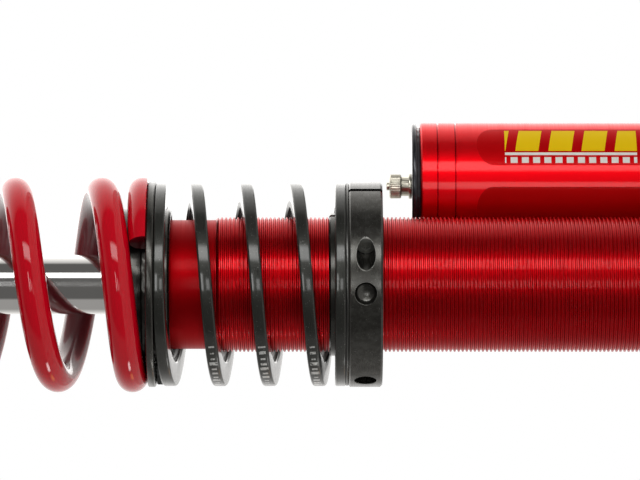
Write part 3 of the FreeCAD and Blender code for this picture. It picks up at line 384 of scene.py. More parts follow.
@dataclass(frozen=True)
class Finish:
    """A plain metal or polymer surface with turning marks, edge wear and a little dust.

    Heights of the fine surface, rings and grain, are in millimetres; fineness and scale are per metre.
    """

    name: str
    colour: Colour
    metallic: float = 1.0
    roughness: float = 0.3
    tone: float = 0.12
    rings: float = 0.0
    ring_fineness: float = 2600.0
    grain: float = 0.0
    grain_scale: float = 900.0
    worn_colour: Colour = (0.55, 0.55, 0.56)
    wear: float = 0.0
    coat: float = 0.0
    coat_roughness: float = 0.1
    dust: float = 0.0
    specular: float = 0.5

    def material(self) -> bpy.types.Material:
        """Make the Blender material the first time that it is asked for.

        Returns:
            The material.
        """
        label = f"{self.name}_finish"
        known = bpy.data.materials.get(label)
        if known is not None:
            return known
        made = bpy.data.materials.new(label)
        made.use_nodes = True
        made.node_tree.nodes.clear()
        graph = Graph(made.node_tree)
        shader = graph.add("ShaderNodeBsdfPrincipled")
        out = graph.add("ShaderNodeOutputMaterial")
        graph.feed(out.inputs["Surface"], shader.outputs[0])
        shader.inputs["Metallic"].default_value = self.metallic
        shader.inputs["Coat Weight"].default_value = self.coat
        shader.inputs["Coat Roughness"].default_value = self.coat_roughness
        shader.inputs["Specular IOR Level"].default_value = self.specular
        place = graph.place()
        self.paint(graph, shader, place)
        return made

    def paint(self, graph: Graph, shader: bpy.types.Node, place: bpy.types.NodeSocket) -> None:
        """Feed colour, roughness and normal of the shader.

        Args:
            graph: the material's graph.
            shader: its surface shader.
            place: coordinates of the surface.
        """
        turning = TURNING.put(graph, place=place, fineness=self.ring_fineness)
        shade = tuple(channel * (1.0 - self.tone) for channel in self.colour)
        light = tuple(min(1.0, channel * (1.0 + self.tone)) for channel in self.colour)
        colour = graph.blend(turning.outputs["Cloud"], shade, light)
        rough = graph.ramp(turning.outputs["Rings"], start=0.25, end=0.75, to_low=self.roughness * 0.82,
                           to_high=self.roughness * 1.22)
        if self.wear:
            mask = graph.maths("MULTIPLY", WEAR.put(graph, place=place).outputs["Mask"], self.wear)
            colour = graph.blend(mask, colour, self.worn_colour)
        if self.dust:
            dust = DUST.put(graph, place=place)
            haze = graph.maths("MULTIPLY", dust.outputs["Haze"], self.dust)
            rough = graph.maths("ADD", rough, graph.maths("MULTIPLY", haze, DUST_ROUGHNESS), clamp=True)
            specks = graph.maths("MULTIPLY", dust.outputs["Specks"], self.dust)
            colour = graph.blend(specks, colour, DUST_COLOUR)
        colour = self.print_on(graph, shader, colour, place)
        graph.feed(shader.inputs["Base Color"], colour)
        graph.feed(shader.inputs["Roughness"], rough)
        height = self.relief(graph, turning, place)
        if height is not None:
            bump = graph.add("ShaderNodeBump")
            bump.inputs["Strength"].default_value = 1.0
            bump.inputs["Distance"].default_value = MM
            graph.feed(bump.inputs["Height"], height)
            graph.feed(shader.inputs["Normal"], bump.outputs[0])

    def relief(self, graph: Graph, turning: bpy.types.Node,
               place: bpy.types.NodeSocket) -> bpy.types.NodeSocket | None:
        """Height of the fine surface.

        Args:
            graph: the material's graph.
            turning: the node of the turning marks.
            place: coordinates of the surface.

        Returns:
            The height in millimetres, or None on a smooth finish.
        """
        height = None
        if self.rings:
            height = graph.maths("MULTIPLY", turning.outputs["Rings"], self.rings)
        if self.grain:
            lumps = graph.noise(place, self.grain_scale, detail=4.0, rough=0.6)
            grit = graph.maths("MULTIPLY", lumps, self.grain)
            height = grit if height is None else graph.maths("ADD", height, grit)
        return height

    def print_on(self, graph: Graph, shader: bpy.types.Node, colour: bpy.types.NodeSocket,
                 place: bpy.types.NodeSocket) -> bpy.types.NodeSocket:
        """Colour with whatever is printed on it; nothing on a plain finish."""
        return colour


@dataclass(frozen=True)
class CoilMarks(Finish):
    """A coil's coating with a row of plain printed dashes that follow the wire.

    The dashes stand between two shares of each turn. A dash's width is a share of its cell, and its height
    a share of the wire's, from the smallest by as much as the spread allows.
    """

    ink: Colour = (0.62, 0.62, 0.60)
    first: float = 0.25
    last: float = 0.375
    dashes: float = 78.0
    full_turns: tuple[float, float] = (1.0, 4.0)
    face: float = 0.995
    width: float = 0.22
    width_spread: float = 0.40
    height: float = 0.30
    height_spread: float = 0.35
    scatter: tuple[float, float] = (12.9, 43.7)

    def print_on(self, graph: Graph, shader: bpy.types.Node, colour: bpy.types.NodeSocket,
                 place: bpy.types.NodeSocket) -> bpy.types.NodeSocket:
        """Dashes of uneven length along the outside of the wire.

        Args:
            graph: the material's graph.
            shader: its surface shader; not used.
            colour: colour of the plain surface.
            place: coordinates of the surface.

        Returns:
            The colour with what is printed on it.
        """
        turn = graph.add("ShaderNodeAttribute", attribute_name="coil_turn").outputs["Fac"]
        across = graph.add("ShaderNodeAttribute", attribute_name="coil_across").outputs["Fac"]
        outside = graph.add("ShaderNodeAttribute", attribute_name="coil_outside").outputs["Fac"]
        part_turn = graph.maths("FRACT", turn)
        low_turn, high_turn = self.full_turns
        mask = graph.maths("GREATER_THAN", outside, self.face)
        for value, limit, way in ((part_turn, self.first, "GREATER_THAN"),
                                  (part_turn, self.last, "LESS_THAN"),
                                  (turn, low_turn, "GREATER_THAN"), (turn, high_turn, "LESS_THAN")):
            mask = graph.maths("MULTIPLY", mask, graph.maths(way, value, limit))
        step = graph.maths("MULTIPLY", turn, self.dashes)
        cell = graph.maths("FLOOR", step)
        part = graph.maths("FRACT", step)
        wave = graph.maths("SINE", graph.maths("MULTIPLY", cell, self.scatter[0]))
        odd = graph.maths("FRACT", graph.maths("MULTIPLY", wave, self.scatter[1]))
        wide = graph.maths("MULTIPLY_ADD", odd, self.width_spread, self.width)
        stroke = graph.maths("LESS_THAN", part, wide)
        tall = graph.maths("MULTIPLY_ADD", odd, self.height_spread, self.height)
        on_band = graph.maths("LESS_THAN", graph.maths("ABSOLUTE", across), tall)
        worn = graph.ramp(graph.noise(place, scale=700.0, detail=3.0, rough=0.7), start=0.36, end=0.46)
        mask = graph.maths("MULTIPLY", graph.maths("MULTIPLY", mask, stroke),
                           graph.maths("MULTIPLY", on_band, worn))
        return graph.blend(mask, colour, self.ink)


@dataclass(frozen=True)
class PowderCoil(Finish):
    """A coil's powder coat, with painted shade on the side that faces the damper, and darker on the ground
    ends.
    """

    # Painted shade: colour of the wire's side that faces the damper.
    inner_shade_colour: Colour = (0.15, 0.0040, 0.012)
    tip_colour: Colour = (0.16, 0.0008, 0.010)
    inner_gloss: float = 0.9
    inner_from: float = 0.20
    inner_full: float = -0.45
    tip_only: float = 0.999

    def print_on(self, graph: Graph, shader: bpy.types.Node, colour: bpy.types.NodeSocket,
                 place: bpy.types.NodeSocket) -> bpy.types.NodeSocket:
        """Painted shade inside the coil, and a darker colour on the cut ends.

        Args:
            graph: the material's graph.
            shader: its surface shader.
            colour: colour of the plain surface.
            place: coordinates of the surface; not used.

        Returns:
            The colour with what is printed on it.
        """
        outside = graph.add("ShaderNodeAttribute", attribute_name="coil_outside").outputs["Fac"]
        tip = graph.add("ShaderNodeAttribute", attribute_name="coil_tip").outputs["Fac"]
        inner = graph.ramp(outside, self.inner_from, self.inner_full)
        graph.feed(shader.inputs["Specular IOR Level"], graph.maths("MULTIPLY", inner, self.inner_gloss))
        graph.feed(shader.inputs["Coat Weight"],
                   graph.maths("MULTIPLY_ADD", inner, 1.0 - self.coat, self.coat))
        # Painted shade: the side of the wire that faces the damper takes the darker inner colour.
        colour = graph.blend(inner, colour, self.inner_shade_colour)
        return graph.blend(graph.maths("GREATER_THAN", tip, self.tip_only), colour, self.tip_colour)


@dataclass(frozen=True)
class PrintedTube(Finish):
    """Anodised tube with two round-ended panels, and plain bars and dashes in place of any wording.

    Lengths are in metres from the panels' upper end, and angles in degrees about the tube's own axis, from
    the side that it faces. A share is that of a bar or dash in its pitch.
    """

    axis: float = 0.0
    radius: float = 0.024
    top: float = 0.0
    face: float = 0.0
    panel_length: float = 0.070
    end_stretch: float = 1.42
    upper_panel: tuple[float, float] = (18.5, 62.7)
    lower_panel: tuple[float, float] = (-42.0, -1.0)
    bars: tuple[float, float] = (33.0, 60.0)
    line: tuple[float, float] = (28.6, 31.4)
    dashes: tuple[float, float] = (20.8, 26.6)
    print_from: float = 0.0105
    print_to: float = 0.0600
    bar_pitch: float = 0.0124
    bar_share: float = 0.70
    bar_lean: float = -0.00006
    dash_pitch: float = 0.0042
    dash_share: float = 0.62
    panel_dulling: float = 0.9
    edge: float = 0.05 * MM
    panel_colour: Colour = (0.62, 0.0006, 0.003)
    lower_colour: Colour = (0.50, 0.0003, 0.001)
    panel_metal: float = 0.45
    bar_colour: Colour = (1.0, 0.66, 0.006)
    line_colour: Colour = (1.0, 0.96, 0.90)

    def print_on(self, graph: Graph, shader: bpy.types.Node, colour: bpy.types.NodeSocket,
                 place: bpy.types.NodeSocket) -> bpy.types.NodeSocket:
        """Panels about the tube, with the bars, the line and the dashes on the upper one.

        Args:
            graph: the material's graph.
            shader: its surface shader.
            colour: colour of the plain surface.
            place: coordinates of the surface.

        Returns:
            The colour with what is printed on it.
        """
        x, y, z = graph.split(place)
        along = graph.maths("SUBTRACT", self.top, z)
        around = graph.maths("DEGREES", graph.maths("ARCTAN2", y, graph.maths("SUBTRACT", x, self.axis)))
        angle = graph.maths("WRAP", graph.maths("SUBTRACT", around, self.face), 180.0, -180.0)
        metal, coated = self.metallic, 1.0
        for (start, end), shade in ((self.upper_panel, self.panel_colour),
                                    (self.lower_panel, self.lower_colour)):
            etched = self.panel(graph, along, angle, start, end)
            colour = graph.blend(etched, colour, shade)
            metal = graph.maths("SUBTRACT", metal, graph.maths("MULTIPLY", etched, 1.0 - self.panel_metal))
            coated = graph.maths("SUBTRACT", coated, graph.maths("MULTIPLY", etched, self.panel_dulling))
        inside = graph.maths("MULTIPLY", graph.maths("GREATER_THAN", along, self.print_from),
                             graph.maths("LESS_THAN", along, self.print_to))
        lean = graph.maths("DIVIDE", graph.maths("MULTIPLY_ADD", angle, self.bar_lean, along), self.bar_pitch)
        bar = graph.maths("LESS_THAN", graph.maths("FRACT", lean), self.bar_share)
        ink = graph.maths("MULTIPLY", graph.maths("MULTIPLY", inside, bar),
                          self.band(graph, angle, self.bars))
        colour = graph.blend(ink, colour, self.bar_colour)
        line = graph.maths("MULTIPLY", inside, self.band(graph, angle, self.line))
        step = graph.maths("DIVIDE", along, self.dash_pitch)
        dash = graph.maths("LESS_THAN", graph.maths("FRACT", step), self.dash_share)
        dash = graph.maths("MULTIPLY", graph.maths("MULTIPLY", inside, dash),
                           self.band(graph, angle, self.dashes))
        white = graph.maths("MAXIMUM", line, dash)
        colour = graph.blend(white, colour, self.line_colour)
        printed = graph.maths("MAXIMUM", ink, white)
        graph.feed(shader.inputs["Metallic"], graph.maths("SUBTRACT", metal, printed, clamp=True))
        graph.feed(shader.inputs["Coat Weight"], graph.maths("MULTIPLY", coated, self.coat))
        graph.feed(shader.inputs["Specular IOR Level"], graph.maths("MULTIPLY", coated, self.specular))
        return colour

    @staticmethod
    def band(graph: Graph, angle: bpy.types.NodeSocket,
             limits: tuple[float, float]) -> bpy.types.NodeSocket:
        """One between two angles and nought outside them."""
        return graph.maths("MULTIPLY", graph.maths("GREATER_THAN", angle, limits[0]),
                           graph.maths("LESS_THAN", angle, limits[1]))

    def panel(self, graph: Graph, along: bpy.types.NodeSocket, angle: bpy.types.NodeSocket, start: float,
              end: float) -> bpy.types.NodeSocket:
        """Mask of a panel with round ends between two angles.

        Args:
            graph: the material's graph.
            along: distance below the panels' upper end.
            angle: angle about the tube.
            start: angle of one side of the panel.
            end: angle of its other side.

        Returns:
            One on the panel and nought beside it.
        """
        half = math.radians(end - start) / 2 * self.radius
        side = graph.maths("MULTIPLY", graph.maths("SUBTRACT", angle, (start + end) / 2),
                           math.radians(1.0) * self.radius)
        middle = self.panel_length / 2
        from_middle = graph.maths("ABSOLUTE", graph.maths("SUBTRACT", along, middle))
        past = graph.maths("SUBTRACT", from_middle, middle - half / self.end_stretch)
        past = graph.maths("MULTIPLY", graph.maths("MAXIMUM", past, 0.0), self.end_stretch)
        away = graph.maths("SQRT", graph.maths("ADD", graph.maths("MULTIPLY", past, past),
                                               graph.maths("MULTIPLY", side, side)))
        return graph.ramp(away, half - self.edge, half + self.edge, to_low=1.0, to_high=0.0)


RED_BODY = Finish("red_anodised_body", (0.55, 0.0008, 0.005), roughness=0.36, tone=0.04, ring_fineness=300.0,
                  coat=0.28, coat_roughness=0.06, worn_colour=(0.70, 0.10, 0.10), wear=0.10)
RED_PLAIN = Finish("red_anodised_plain", (0.47, 0.0006, 0.004), roughness=0.52, tone=0.06, rings=0.003,
                   coat=0.08, coat_roughness=0.2)
RED_TUBE = PrintedTube("red_anodised_tube", (0.86, 0.0008, 0.006), roughness=0.42, tone=0.04, rings=0.001,
                       coat=0.38, coat_roughness=0.07, axis=RESERVOIR_AXIS,
                       top=high("reservoir_tube").z - PANEL_DROP, face=CAMERA_SIDE)
RED_POWDER = PowderCoil("red_powder_coat", (0.68, 0.0006, 0.013), metallic=0.0, roughness=0.40, tone=0.05,
                        grain=0.002, grain_scale=240.0, coat=0.92, coat_roughness=0.03, specular=0.0)
DARK_COIL = CoilMarks("dark_coil_coating", (0.030, 0.031, 0.026), metallic=0.6, roughness=0.30, tone=0.35,
                      grain=0.010, grain_scale=1400.0, wear=0.30, coat=0.75, coat_roughness=0.06, dust=0.45)
BLACK_ANODISED = Finish("black_anodised", (0.054, 0.052, 0.046), metallic=0.9, roughness=0.26, tone=0.20,
                        rings=0.002, grain=0.003, grain_scale=1800.0, worn_colour=(0.30, 0.30, 0.28),
                        wear=0.16, dust=0.35, coat=0.35, coat_roughness=0.14)
BLACK_CAP = Finish("black_anodised_cap", (0.030, 0.030, 0.036), metallic=0.7, roughness=0.28, tone=0.2,
                   rings=0.002, worn_colour=(0.30, 0.30, 0.30), wear=0.35, dust=0.3, coat=0.4,
                   coat_roughness=0.1)
WORN_RIM = Finish("worn_rim", (0.46, 0.46, 0.43), roughness=0.34, tone=0.35, grain=0.01,
                  worn_colour=(0.12, 0.12, 0.11), wear=0.9)
CHROME = Finish("hard_chrome", (0.80, 0.79, 0.77), roughness=0.07, tone=0.02, rings=0.0002)
NICKEL = Finish("nickel_plate", (0.70, 0.66, 0.55), roughness=0.33, tone=0.10, rings=0.002, wear=0.2)
STEEL = Finish("plain_steel", (0.52, 0.51, 0.50), roughness=0.28, tone=0.08, rings=0.003)
DARK_STEEL = Finish("dark_steel", (0.10, 0.10, 0.095), roughness=0.28, tone=0.08, rings=0.003)
BEARING = Finish("ground_steel", (0.62, 0.62, 0.62), roughness=0.12, tone=0.04, rings=0.0006)
ZINC = Finish("zinc_plate", (0.58, 0.58, 0.56), roughness=0.26, tone=0.10, rings=0.003, dust=0.3)
ALLOY = Finish("machined_alloy", (0.70, 0.70, 0.71), roughness=0.27, tone=0.05, rings=0.004)
BLACK_STEEL = Finish("black_oxide", (0.30, 0.30, 0.28), metallic=0.9, roughness=0.35, grain=0.004, wear=0.4)
BRONZE = Finish("lined_bronze", (0.44, 0.27, 0.10), roughness=0.35, grain=0.006)
RUBBER = Finish("seal_rubber", (0.018, 0.018, 0.018), metallic=0.0, roughness=0.55, grain=0.010, specular=0.3)
FOAM = Finish("stop_foam", (0.55, 0.36, 0.08), metallic=0.0, roughness=0.85, tone=0.18, grain=0.18,
              grain_scale=700.0, specular=0.25)
# Painted shade for the bottoms of the reservoir's grooves.
GROOVE_PAINTED_SHADE = Finish("red_groove_painted_shade", (0.26, 0.0008, 0.004), roughness=0.30, tone=0.1)
RED_KNOB = Finish("red_anodised_knob", (0.55, 0.001, 0.006), roughness=0.30, rings=0.002, coat=0.3,
                  wear=0.4)
PALE_FLOOR = Finish("pale_floor", (0.86, 0.86, 0.85), metallic=0.0, roughness=0.7, tone=0.02, specular=0.2)


# ---------------------------------------------------------------- meshes


SAME_POINT = 1e-7  # points nearer than this, in metres, are one
WELD_GAP = 1e-6
FLAT_ANGLE = 0.4  # faces that meet flatter than this, in degrees, are one before the edges are broken
SHARP_ANGLE = 40.0  # edges sharper than this are broken


def make_piece(name: str, verts: Sequence[Point], faces: Sequence[Sequence[int]], finish: Finish,
               smooth_angle: float = 35.0) -> bpy.types.Object:
    """Make an object from points and faces.

    Args:
        name: name of the piece.
        verts: points in the frame.
        faces: corners of each face.
        finish: the surface.
        smooth_angle: edges flatter than this, in degrees, are shaded smooth.

    Returns:
        The new object, linked to the scene.
    """
    mesh = bpy.data.meshes.new(name)
    mesh.from_pydata(verts, [], faces)
    work = bmesh.new()
    work.from_mesh(mesh)
    bmesh.ops.remove_doubles(work, verts=work.verts, dist=SAME_POINT)
    bmesh.ops.recalc_face_normals(work, faces=work.faces)
    limit = math.radians(smooth_angle)
    for edge in work.edges:
        edge.smooth = len(edge.link_faces) == 2 and edge.calc_face_angle(0.0) < limit
    for face in work.faces:
        face.smooth = True
    work.to_mesh(mesh)
    work.free()
    mesh.materials.append(finish.material())
    piece = bpy.data.objects.new(name, mesh)
    bpy.context.scene.collection.objects.link(piece)
    return piece


def settle(piece: bpy.types.Object, body: str, slot: str, *nodes: str) -> bpy.types.Object:
    """Let a piece ride on a body and stand for nodes.

    Args:
        piece: the piece; one that is stretched between two bodies already has its ride.
        body: name of the body.
        slot: name of the material slot; not used.
        nodes: nodes of the model that the piece takes the place of.

    Returns:
        The same piece.
    """
    if "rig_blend" not in piece:
        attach(piece, body)
    if nodes:
        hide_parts(*nodes)
    LOG.info("piece %s: %d faces", piece.name, len(piece.data.polygons))
    return piece


def grid_faces(rows: int, columns: int, closed: bool) -> list[tuple[int, int, int, int]]:
    """Quads between rows of points.

    Args:
        rows: number of rows.
        columns: points in a row.
        closed: True to close each row on itself.

    Returns:
        Four point numbers for each face.
    """
    faces = []
    for row in range(rows - 1):
        for column in range(columns if closed else columns - 1):
            following = (column + 1) % columns
            faces.append((row * columns + column, row * columns + following,
                          (row + 1) * columns + following, (row + 1) * columns + column))
    return faces


def lathe(outline: Sequence[tuple[float, float]], sides: int, axis_x: float = 0.0,
          ripple: Callable[[float, int], float] | None = None) -> tuple[list[Point], list[tuple[int, ...]]]:
    """Turn a closed outline about Z.

    Args:
        outline: (radius, height) corners, in order.
        sides: points around.
        axis_x: place of the axis along X.
        ripple: radius to add at an angle for a corner's number, or None.

    Returns:
        Points and faces.
    """
    verts = []
    for step in range(sides):
        angle = TAU * step / sides
        for number, (radius, height) in enumerate(outline):
            reach = radius + (ripple(angle, number) if ripple else 0.0)
            verts.append((axis_x + reach * math.cos(angle), reach * math.sin(angle), height))
    count = len(outline)
    faces = []
    for step in range(sides):
        here, there = step * count, (step + 1) % sides * count
        for corner in range(count):
            after = (corner + 1) % count
            faces.append((here + corner, there + corner, there + after, here + after))
    return verts, faces


def dress(node: str, finish: Finish, bevel: float = 0.0) -> None:
    """Give a node of the model its finish and, where asked, softly broken edges.

    Args:
        node: name of the node.
        finish: the surface.
        bevel: width of the broken edges, or nought to leave them.
    """
    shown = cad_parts[node]
    shown.data.materials.clear()
    shown.data.materials.append(finish.material())
    if bevel:
        weld = shown.modifiers.new("weld", "WELD")
        weld.merge_threshold = WELD_GAP
        flat = shown.modifiers.new("flat", "DECIMATE")
        flat.decimate_type = "DISSOLVE"
        flat.angle_limit = math.radians(FLAT_ANGLE)
        edge = shown.modifiers.new("edge", "BEVEL")
        edge.width = bevel
        edge.segments = 2
        edge.limit_method = "ANGLE"
        edge.angle_limit = math.radians(SHARP_ANGLE)
        edge.harden_normals = True
        edge.use_clamp_overlap = True
    LOG.info("node %s: %s", node, finish.name)


# ---------------------------------------------------------------- the body


@dataclass
class ThreadedBody:
    """The damper's tube: a long fine thread and a plain stretch at its top.

    Crest and root are shares of the pitch. The thread starts a little above the reservoir's foot, runs out
    over a part of its depth, and the tube's rim is rounded in two steps.
    """

    pitch: float = 1.5 * MM
    depth: float = 0.82 * MM
    crest: float = 0.30
    root: float = 0.22
    plain_radius: float = 23.9 * MM
    plain_length: float = 23.8 * MM
    bore: float = 21.0 * MM
    foot_rise: float = 14.0 * MM
    runout: float = 1.2
    shoulder: float = 0.94
    lip: float = 0.02 * MM
    step: float = 0.15 * MM
    rim: tuple[tuple[float, float], ...] = ((0.0, 1.0 * MM), (0.25 * MM, 0.4 * MM), (0.9 * MM, 0.0))
    sides: int = 144
    core_sides: int = 160
    smooth_angle: float = 28.0
    least_height: float = 2e-6

    def build(self) -> None:
        """Make the thread and the plain tube."""
        top = high("body_tube").z
        outside = outer_radius("body_tube")
        end = top - self.plain_length
        start = low("reservoir_tube").z + self.foot_rise
        self.thread(outside, start, end)
        self.core(outside, start, end)

    def thread(self, outside: float, start: float, end: float) -> None:
        """Cut the thread as one real helix with flat crests and rounded roots.

        Args:
            outside: radius over the crests.
            start: height of the thread's lower end.
            end: height of its upper end.
        """
        flank = (1.0 - self.crest - self.root) / 2
        profile = [(0.0, 0.0), (self.crest, 0.0), (self.crest + flank * 0.9, -self.depth * self.shoulder),
                   (self.crest + flank + self.root / 2, -self.depth),
                   (self.crest + flank * 1.1 + self.root, -self.depth * self.shoulder)]
        turns = math.ceil((end - start) / self.pitch) + 1
        runout = self.depth * self.runout
        verts: list[Point] = []
        rows = turns * len(profile) + 1
        for row in range(rows):
            turn, corner = divmod(row, len(profile))
            rise, cut = profile[corner]
            for column in range(self.sides + 1):
                angle = TAU * column / self.sides
                height = start + (turn + rise - 1.0 + column / self.sides) * self.pitch
                held = min(max(height, start), end)
                radius = outside + cut
                if held > end - runout:
                    radius = outside + min(cut, -self.depth * max(0.0, 1.0 - (end - held) / runout))
                if held <= start:
                    radius = outside - self.lip
                verts.append((radius * math.cos(angle), radius * math.sin(angle), held))
        faces = grid_faces(rows, self.sides + 1, closed=False)
        thread = make_piece("body_thread", verts, [face for face in faces if self.is_open(verts, face)],
                            RED_BODY, self.smooth_angle)
        settle(thread, "damper_body", "red_anodised", "body_tube")

    def core(self, outside: float, start: float, end: float) -> None:
        """Turn the tube under the thread, with its plain stretch and rim.

        Args:
            outside: radius over the crests.
            start: height of the thread's lower end.
            end: height of its upper end.
        """
        foot, top = low("body_tube").z, high("body_tube").z
        outline = [(self.bore, foot), (outside - self.depth, foot), (outside - self.depth, start),
                   (outside - self.depth, end), (self.plain_radius, end + self.step)]
        outline += [(self.plain_radius - inward, top - drop) for inward, drop in self.rim]
        verts, faces = lathe([*outline, (self.bore, top)], self.core_sides)
        settle(make_piece("body_core", verts, faces, RED_PLAIN), "damper_body", "red_anodised")

    def is_open(self, verts: Sequence[Point], face: Sequence[int]) -> bool:
        """Tell whether a face of the helix has some height or depth.

        Args:
            verts: points of the helix.
            face: four point numbers.

        Returns:
            False where the ends of the thread are pressed flat.
        """
        corners = [Vector(verts[number]) for number in face]
        return (corners[1] - corners[0]).length > SAME_POINT and max(
            (corners[2] - corners[1]).length, (corners[3] - corners[0]).length) > self.least_height


# ---------------------------------------------------------------- the springs


@dataclass
class CoilSpring:
    """A coil spring whose end coils close and are ground flat.

    The dead and easing turns are counted from each end. The wire starts at an angle in degrees, its middle
    stands inset from the seats, and its two ends follow shares of the motion between the bodies that it is
    stretched between. Swell makes the wire taller in its free turns.
    """

    name: str
    node: str
    mean: float
    pitch: float
    end_pitch: float
    dead: float
    ease: float
    first: float
    inset: float
    finish: Finish
    slot: str
    follow_low: float
    follow_high: float
    section: list[tuple[float, float]]
    swell: float = 0.0
    steps: int = 64
    tip_shrink: float = 0.10
    tip_steps: float = 2.0
    smooth_angle: float = 38.0

    def climb(self, at: float) -> float:
        """Height gained after a number of turns from an end.

        Args:
            at: turns from the end.

        Returns:
            The height.
        """
        if at <= self.dead:
            return self.end_pitch * at
        if at >= self.dead + self.ease:
            ends = self.end_pitch * self.dead + (self.end_pitch + self.pitch) / 2 * self.ease
            return ends + self.pitch * (at - self.dead - self.ease)
        into = at - self.dead
        return self.end_pitch * at + (self.pitch - self.end_pitch) * into * into / (2 * self.ease)

    def turns(self, height: float) -> float:
        """Turns that climb a height with both ends closed."""
        ends = 2 * self.climb(self.dead + self.ease)
        return 2 * (self.dead + self.ease) + (height - ends) / self.pitch

    def build(self) -> None:
        """Sweep the section along the coil, grind the ends and tie the coil to both its seats."""
        foot, top = low(self.node).z, high(self.node).z
        start, end = foot + self.inset, top - self.inset
        turns = self.turns(end - start)
        count = round(turns * self.steps)
        verts: list[Point] = []
        along: list[float] = []
        across: list[float] = []
        outside: list[float] = []
        tips: list[float] = []
        width = len(self.section)
        reach = max(abs(up) for _, up in self.section)
        edge = max(out for out, _ in self.section)
        for step in range(count + 1):
            at = turns * step / count
            height = start + self.climb(at) if at <= turns / 2 else end - self.climb(turns - at)
            slope = self.slope(at, turns)
            angle = math.radians(self.first) + TAU * at
            out = Vector((math.cos(angle), math.sin(angle), 0.0))
            around = Vector((-math.sin(angle), math.cos(angle), 0.0))
            lean = math.atan2(slope, TAU * self.mean)
            up = Vector((0, 0, 1)) * math.cos(lean) - around * math.sin(lean)
            middle = out * self.mean + Vector((0, 0, height))
            tip = min(step, count - step)
            shrink = 1.0 - self.tip_shrink * max(0.0, 1.0 - tip / self.tip_steps)
            tall = shrink * (1.0 + self.swell * self.free(at, turns))
            for sideways, upwards in self.section:
                point = middle + out * sideways * shrink + up * upwards * tall
                point.z = min(max(point.z, foot), top)
                verts.append(tuple(point))
                along.append(at)
                across.append(upwards / reach)
                outside.append(sideways / edge)
                tips.append(1.0 if step in (0, count) else 0.0)
        faces: list[tuple[int, ...]] = list(grid_faces(count + 1, width, closed=True))
        faces.append(tuple(range(width))[::-1])
        faces.append(tuple(count * width + corner for corner in range(width)))
        coil = self.mesh(verts, faces, {"coil_turn": along, "coil_across": across, "coil_outside": outside,
                                        "coil_tip": tips})
        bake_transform(coil, "washer_body", "coupler_body", (0, 0, foot), (0, 0, top))
        weights = coil.data.attributes["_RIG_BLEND"].data
        for weight, turn in zip(weights, coil.data.attributes["coil_turn"].data):
            share = self.share(turn.value, turns)
            weight.value = self.follow_low + (self.follow_high - self.follow_low) * share
        settle(coil, "", self.slot, self.node)

    def share(self, at: float, turns: float) -> float:
        """How far a place on the wire has moved from the lower seat's motion to the upper seat's."""
        first, last = self.dead + self.ease / 2, turns - self.dead - self.ease / 2
        return min(1.0, max(0.0, (at - first) / (last - first)))

    def slope(self, at: float, turns: float) -> float:
        """Height gained in a turn at a place on the wire."""
        return self.end_pitch + (self.pitch - self.end_pitch) * self.free(at, turns)

    def free(self, at: float, turns: float) -> float:
        """Nought in the closed end turns, and one in the free turns between them."""
        return min(1.0, max(0.0, (min(at, turns - at) - self.dead) / self.ease))

    def mesh(self, verts: Sequence[Point], faces: Sequence[Sequence[int]],
             stored: dict[str, Sequence[float]]) -> bpy.types.Object:
        """Make the coil with the wire's own coordinates stored on its points.

        Args:
            verts: points in the frame.
            faces: corners of each face.
            stored: a value for each point, by the attribute's name.

        Returns:
            The coil, linked to the scene.
        """
        data = bpy.data.meshes.new(self.name)
        data.from_pydata(verts, [], faces)
        for label, values in stored.items():
            attribute = data.attributes.new(label, "FLOAT", "POINT")
            attribute.data.foreach_set("value", values)
        data.update()
        work = bmesh.new()
        work.from_mesh(data)
        bmesh.ops.recalc_face_normals(work, faces=work.faces)
        for edge in work.edges:
            edge.smooth = edge.calc_face_angle(0.0) < math.radians(self.smooth_angle)
        for face in work.faces:
            face.smooth = True
        work.to_mesh(data)
        work.free()
        data.materials.append(self.finish.material())
        coil = bpy.data.objects.new(self.name, data)
        bpy.context.scene.collection.objects.link(coil)
        return coil


def round_section(radius: float, sides: int = 36) -> list[tuple[float, float]]:
    """Points of a round wire's section."""
    return [(radius * math.cos(TAU * k / sides), radius * math.sin(TAU * k / sides)) for k in range(sides)]


def flat_section(wide: float, tall: float, corner: float, sides: int = 5) -> list[tuple[float, float]]:
    """Points of a flat wire's section with rounded corners.

    Args:
        wide: width across the wire.
        tall: height along the damper.
        corner: radius of its corners.
        sides: steps in a corner.

    Returns:
        Places out from the wire's middle and up from it.
    """
    points = []
    for quarter, (x, y) in enumerate(((1, 1), (-1, 1), (-1, -1), (1, -1))):
        for k in range(sides + 1):
            angle = TAU / 4 * (quarter + k / sides)
            points.append((x * (wide / 2 - corner) + corner * math.cos(angle),
                           y * (tall / 2 - corner) + corner * math.sin(angle)))
    return points


def springs() -> list[CoilSpring]:
    """Describe both springs of the coilover.

    Returns:
        The main spring and the tender spring.
    """
    main = CoilSpring("main_spring_coil", "main_spring", mean=34.3 * MM, pitch=32 * MM, end_pitch=7.4 * MM,
                      dead=0.66, ease=0.39, first=-109.0, inset=0.8 * MM, finish=RED_POWDER,
                      slot="red_powder", follow_low=1.0, follow_high=2.5,
                      section=round_section(5.7 * MM))
    tender = CoilSpring("tender_spring_coil", "helper_spring", mean=33.15 * MM, pitch=18.4 * MM,
                        end_pitch=0.08 * MM, dead=0.72, ease=0.18, first=52.8, inset=2.0 * MM,
                        finish=DARK_COIL, slot="dark_spring", follow_low=0.0, follow_high=1.0,
                        section=flat_section(9.1 * MM, 4.0 * MM, 0.7 * MM), swell=0.15)
    return [main, tender]


# ---------------------------------------------------------------- small parts


def collar_middle() -> float:
    """Height half-way between the collar's foot and the washer on it."""
    return (low("adjuster_collar").z + low("thrust_washer").z) / 2


